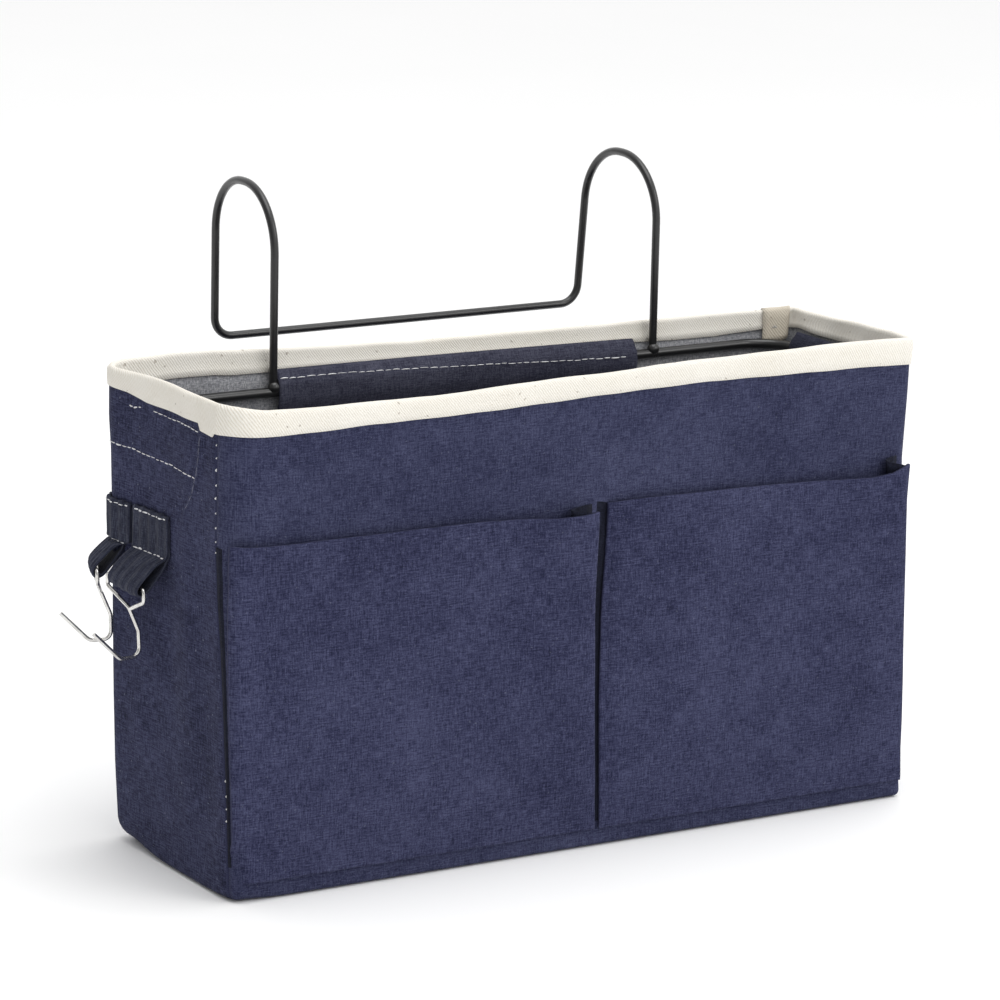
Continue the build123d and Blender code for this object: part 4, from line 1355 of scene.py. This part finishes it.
def seat_front(q, z):
    lx = -(q[0] - F_AT[0])            # local outward coordinate, tab plane near 0
    p, n = closest_on_left(zkey(z), np.array([-191.6, q[1], z]), 0.0)
    d = lx + 0.95
    return np.array([p[0] + n[0] * d, p[1] + n[1] * d, z]), n


def seat_rear(q, z):
    """Wrap the rear strap along the wall from its front edge."""
    a = math.radians(R_AZ)
    out = np.array([math.cos(a), math.sin(a)])
    along = np.array([-math.sin(a), math.cos(a)])
    d2 = q[:2] - R_AT[:2]
    lx, ly = d2 @ out, d2 @ along          # ly grows towards the front
    dist = 13.0 - ly * 1.18               # arc length from the strap's front edge
    P3 = wall_row(zkey(z), 0.0)
    _, n, _l = _cache[round(float(zkey(z)), 4)]
    idx = np.arange(N - 1, START[5] + 60, -1)
    y = P3[idx, 1]
    k0 = int(np.argmax(y > 35.8))
    seg = np.concatenate([[0], np.cumsum(np.linalg.norm(np.diff(P3[idx[k0:], :2], axis=0), axis=1))])
    j = idx[k0:]
    dist = max(0.0, dist)
    p = np.array([np.interp(dist, seg, P3[j, 0]), np.interp(dist, seg, P3[j, 1])])
    nn = np.array([np.interp(dist, seg, n[j, 0]), np.interp(dist, seg, n[j, 1])])
    nn /= np.linalg.norm(nn)
    d = lx + 0.95
    return np.array([p[0] + nn[0] * d, p[1] + nn[1] * d, z]), nn


front_strap = hooked_strap("front_strap", F_AT, F_AZ, 15.6, seat_front, "front_strap_tab", "front_strap_loop",
                           twist=-0.5, lean=0.0, seed=1)
rear_strap = hooked_strap("rear_strap", R_AT, R_AZ, 11.0, seat_rear, "rear_strap_tab", "rear_strap_loop",
                          twist=-0.7, reach=0.93, seed=2)


# pale edge of the fold that runs down from the upper stitch row
PALE = thread_material("pale_fold_edge", (0.11, 0.12, 0.19))
stitches("end_fold_edge", *wall_line(3, [(-26.8, 217.5), (-26.0, 208), (-23.2, 198), (-18.7, 188), (-9.5, 176.5)], n=40), PALE,
         length=5.0, gap=0.02, rad=0.20, lift=0.1, seed=3)


# ------------------------------------------------------------------ carried-over CAD nodes
def dress(node, mat):
    ob = frame["nodes"][node]
    ob = ob if hasattr(ob, "data") else bpy.data.objects[node]
    me = ob.data
    if len(ob.material_slots) == 0:
        me.materials.append(mat)
    for s in ob.material_slots:
        s.material = mat


for node in ("hook_wire", "rim_wire", "weld_beads"):
    dress(node, BLACK)
for node in ("front_side_hook", "rear_side_hook"):
    dress(node, STEEL)


# ------------------------------------------------------------------ printed area shares of the cloth pieces
def halfarea(ob):
    me = ob.data
    a = np.zeros(len(me.polygons))
    me.polygons.foreach_get("area", a)
    return float(a.sum()) / 2


def declare():
    scene_obs = bpy.data.objects
    rows_ = [
        ("front_cloth", (0.400, 0.236), "stretched", ["front_stiffener"]),
        ("back_cloth", (0.374, 0.236), "stretched", ["back_stiffener"]),
        ("left_end_cloth", (0.134, 0.236), "stretched", ["left_stiffener"]),
        ("right_end_cloth", (0.124, 0.236), "stretched", ["right_stiffener"]),
        ("front_lining_cloth", (0.396, 0.230), "stretched", ["front_stiffener"]),
        ("back_lining_cloth", (0.372, 0.230), "stretched", ["back_stiffener"]),
        ("left_lining_cloth", (0.130, 0.230), "stretched", ["left_stiffener"]),
        ("right_lining_cloth", (0.120, 0.230), "stretched", ["right_stiffener"]),
        ("bottom_cloth", (0.380, 0.120), "stretched", ["base_stiffener"]),
        ("base_lining_cloth", (0.376, 0.114), "laid", ["base_stiffener"]),
        ("rim_tape", (1.010, 0.028), "folded", ["front_cloth"]),
        ("tape_join", (0.021, 0.034), "folded", ["rim_tape"]),
        ("back_sleeve_cloth", (0.205, 0.036), "stretched", ["rim_wire"]),
        ("left_end_sleeve_cloth", (0.058, 0.032), "stretched", ["rim_wire"]),
        ("right_end_sleeve_cloth", (0.058, 0.032), "stretched", ["rim_wire"]),
        ("left_pocket_cloth", (0.196, 0.162), "hung", ["front_cloth"]),
        ("right_pocket_cloth", (0.182, 0.163), "hung", ["front_cloth"]),
        ("left_pocket_gusset_a", (0.150, 0.013), "folded", ["front_cloth"]),
        ("left_pocket_gusset_b", (0.156, 0.015), "folded", ["front_cloth"]),
        ("right_pocket_gusset_a", (0.156, 0.010), "folded", ["front_cloth"]),
        ("right_pocket_gusset_b", (0.160, 0.015), "folded", ["front_cloth"]),
        ("front_strap", (0.035, 0.086), "hung", ["left_end_cloth"]),
        ("rear_strap", (0.025, 0.086), "hung", ["left_end_cloth"]),
    ]
    for name, flat, held, rests in rows_:
        ob = scene_obs[name]
        print("SHEET", name, "share", round(halfarea(ob) / (flat[0] * flat[1]), 3))


declare()

# ------------------------------------------------------------------ stage and light
bpy.ops.mesh.primitive_circle_add(vertices=96, radius=9.0, fill_type="NGON", location=(0, 0, -0.0004))
floor = bpy.context.object
floor.name = "floor"
fm = Mat("floor_paper")
fn = fm.noise(fm.obj(3), 1.0, 3.0, 0.5)
fm.set(Base_Color=fm.ramp(fn, [(0.3, (0.955, 0.955, 0.955)), (0.7, (0.965, 0.965, 0.965))]), Roughness=0.9)
floor.data.materials.append(fm.m)

world = bpy.data.worlds.new("studio")
bpy.context.scene.world = world
world.use_nodes = True
wt = world.node_tree
bg = wt.nodes["Background"]
bg.inputs["Color"].default_value = (1, 1, 1, 1)
tc = wt.nodes.new("ShaderNodeTexCoord")
sx_ = wt.nodes.new("ShaderNodeSeparateXYZ")
wt.links.new(tc.outputs["Generated"], sx_.inputs[0])
mr = wt.nodes.new("ShaderNodeMapRange")
mr.interpolation_type = "SMOOTHSTEP"
mr.inputs["From Min"].default_value = -0.85
mr.inputs["From Max"].default_value = 0.0
mr.inputs["To Min"].default_value = 0.42
mr.inputs["To Max"].default_value = 1.12
wt.links.new(sx_.outputs[0], mr.inputs["Value"])
wt.links.new(mr.outputs[0], bg.inputs["Strength"])


def area(name, loc, target, size, power, color=(1, 1, 1)):
    L = bpy.data.lights.new(name, "AREA")
    L.shape = "RECTANGLE"
    L.size, L.size_y = size
    L.energy = power
    L.color = color
    o = bpy.data.objects.new(name, L)
    bpy.context.scene.collection.objects.link(o)
    o.location = loc
    o.rotation_euler = (Vector(target) - Vector(loc)).to_track_quat("-Z", "Y").to_euler()
    return o


area("key", (1.2, -1.7, 1.5), (0, 0, 0.12), (1.0, 0.9), 8, (1.0, 0.995, 0.985))
area("top", (0.1, -0.2, 2.0), (0, 0, 0.15), (1.6, 1.3), 16)

try:
    bpy.context.scene.view_settings.view_transform = "Standard"
except TypeError:
    pass
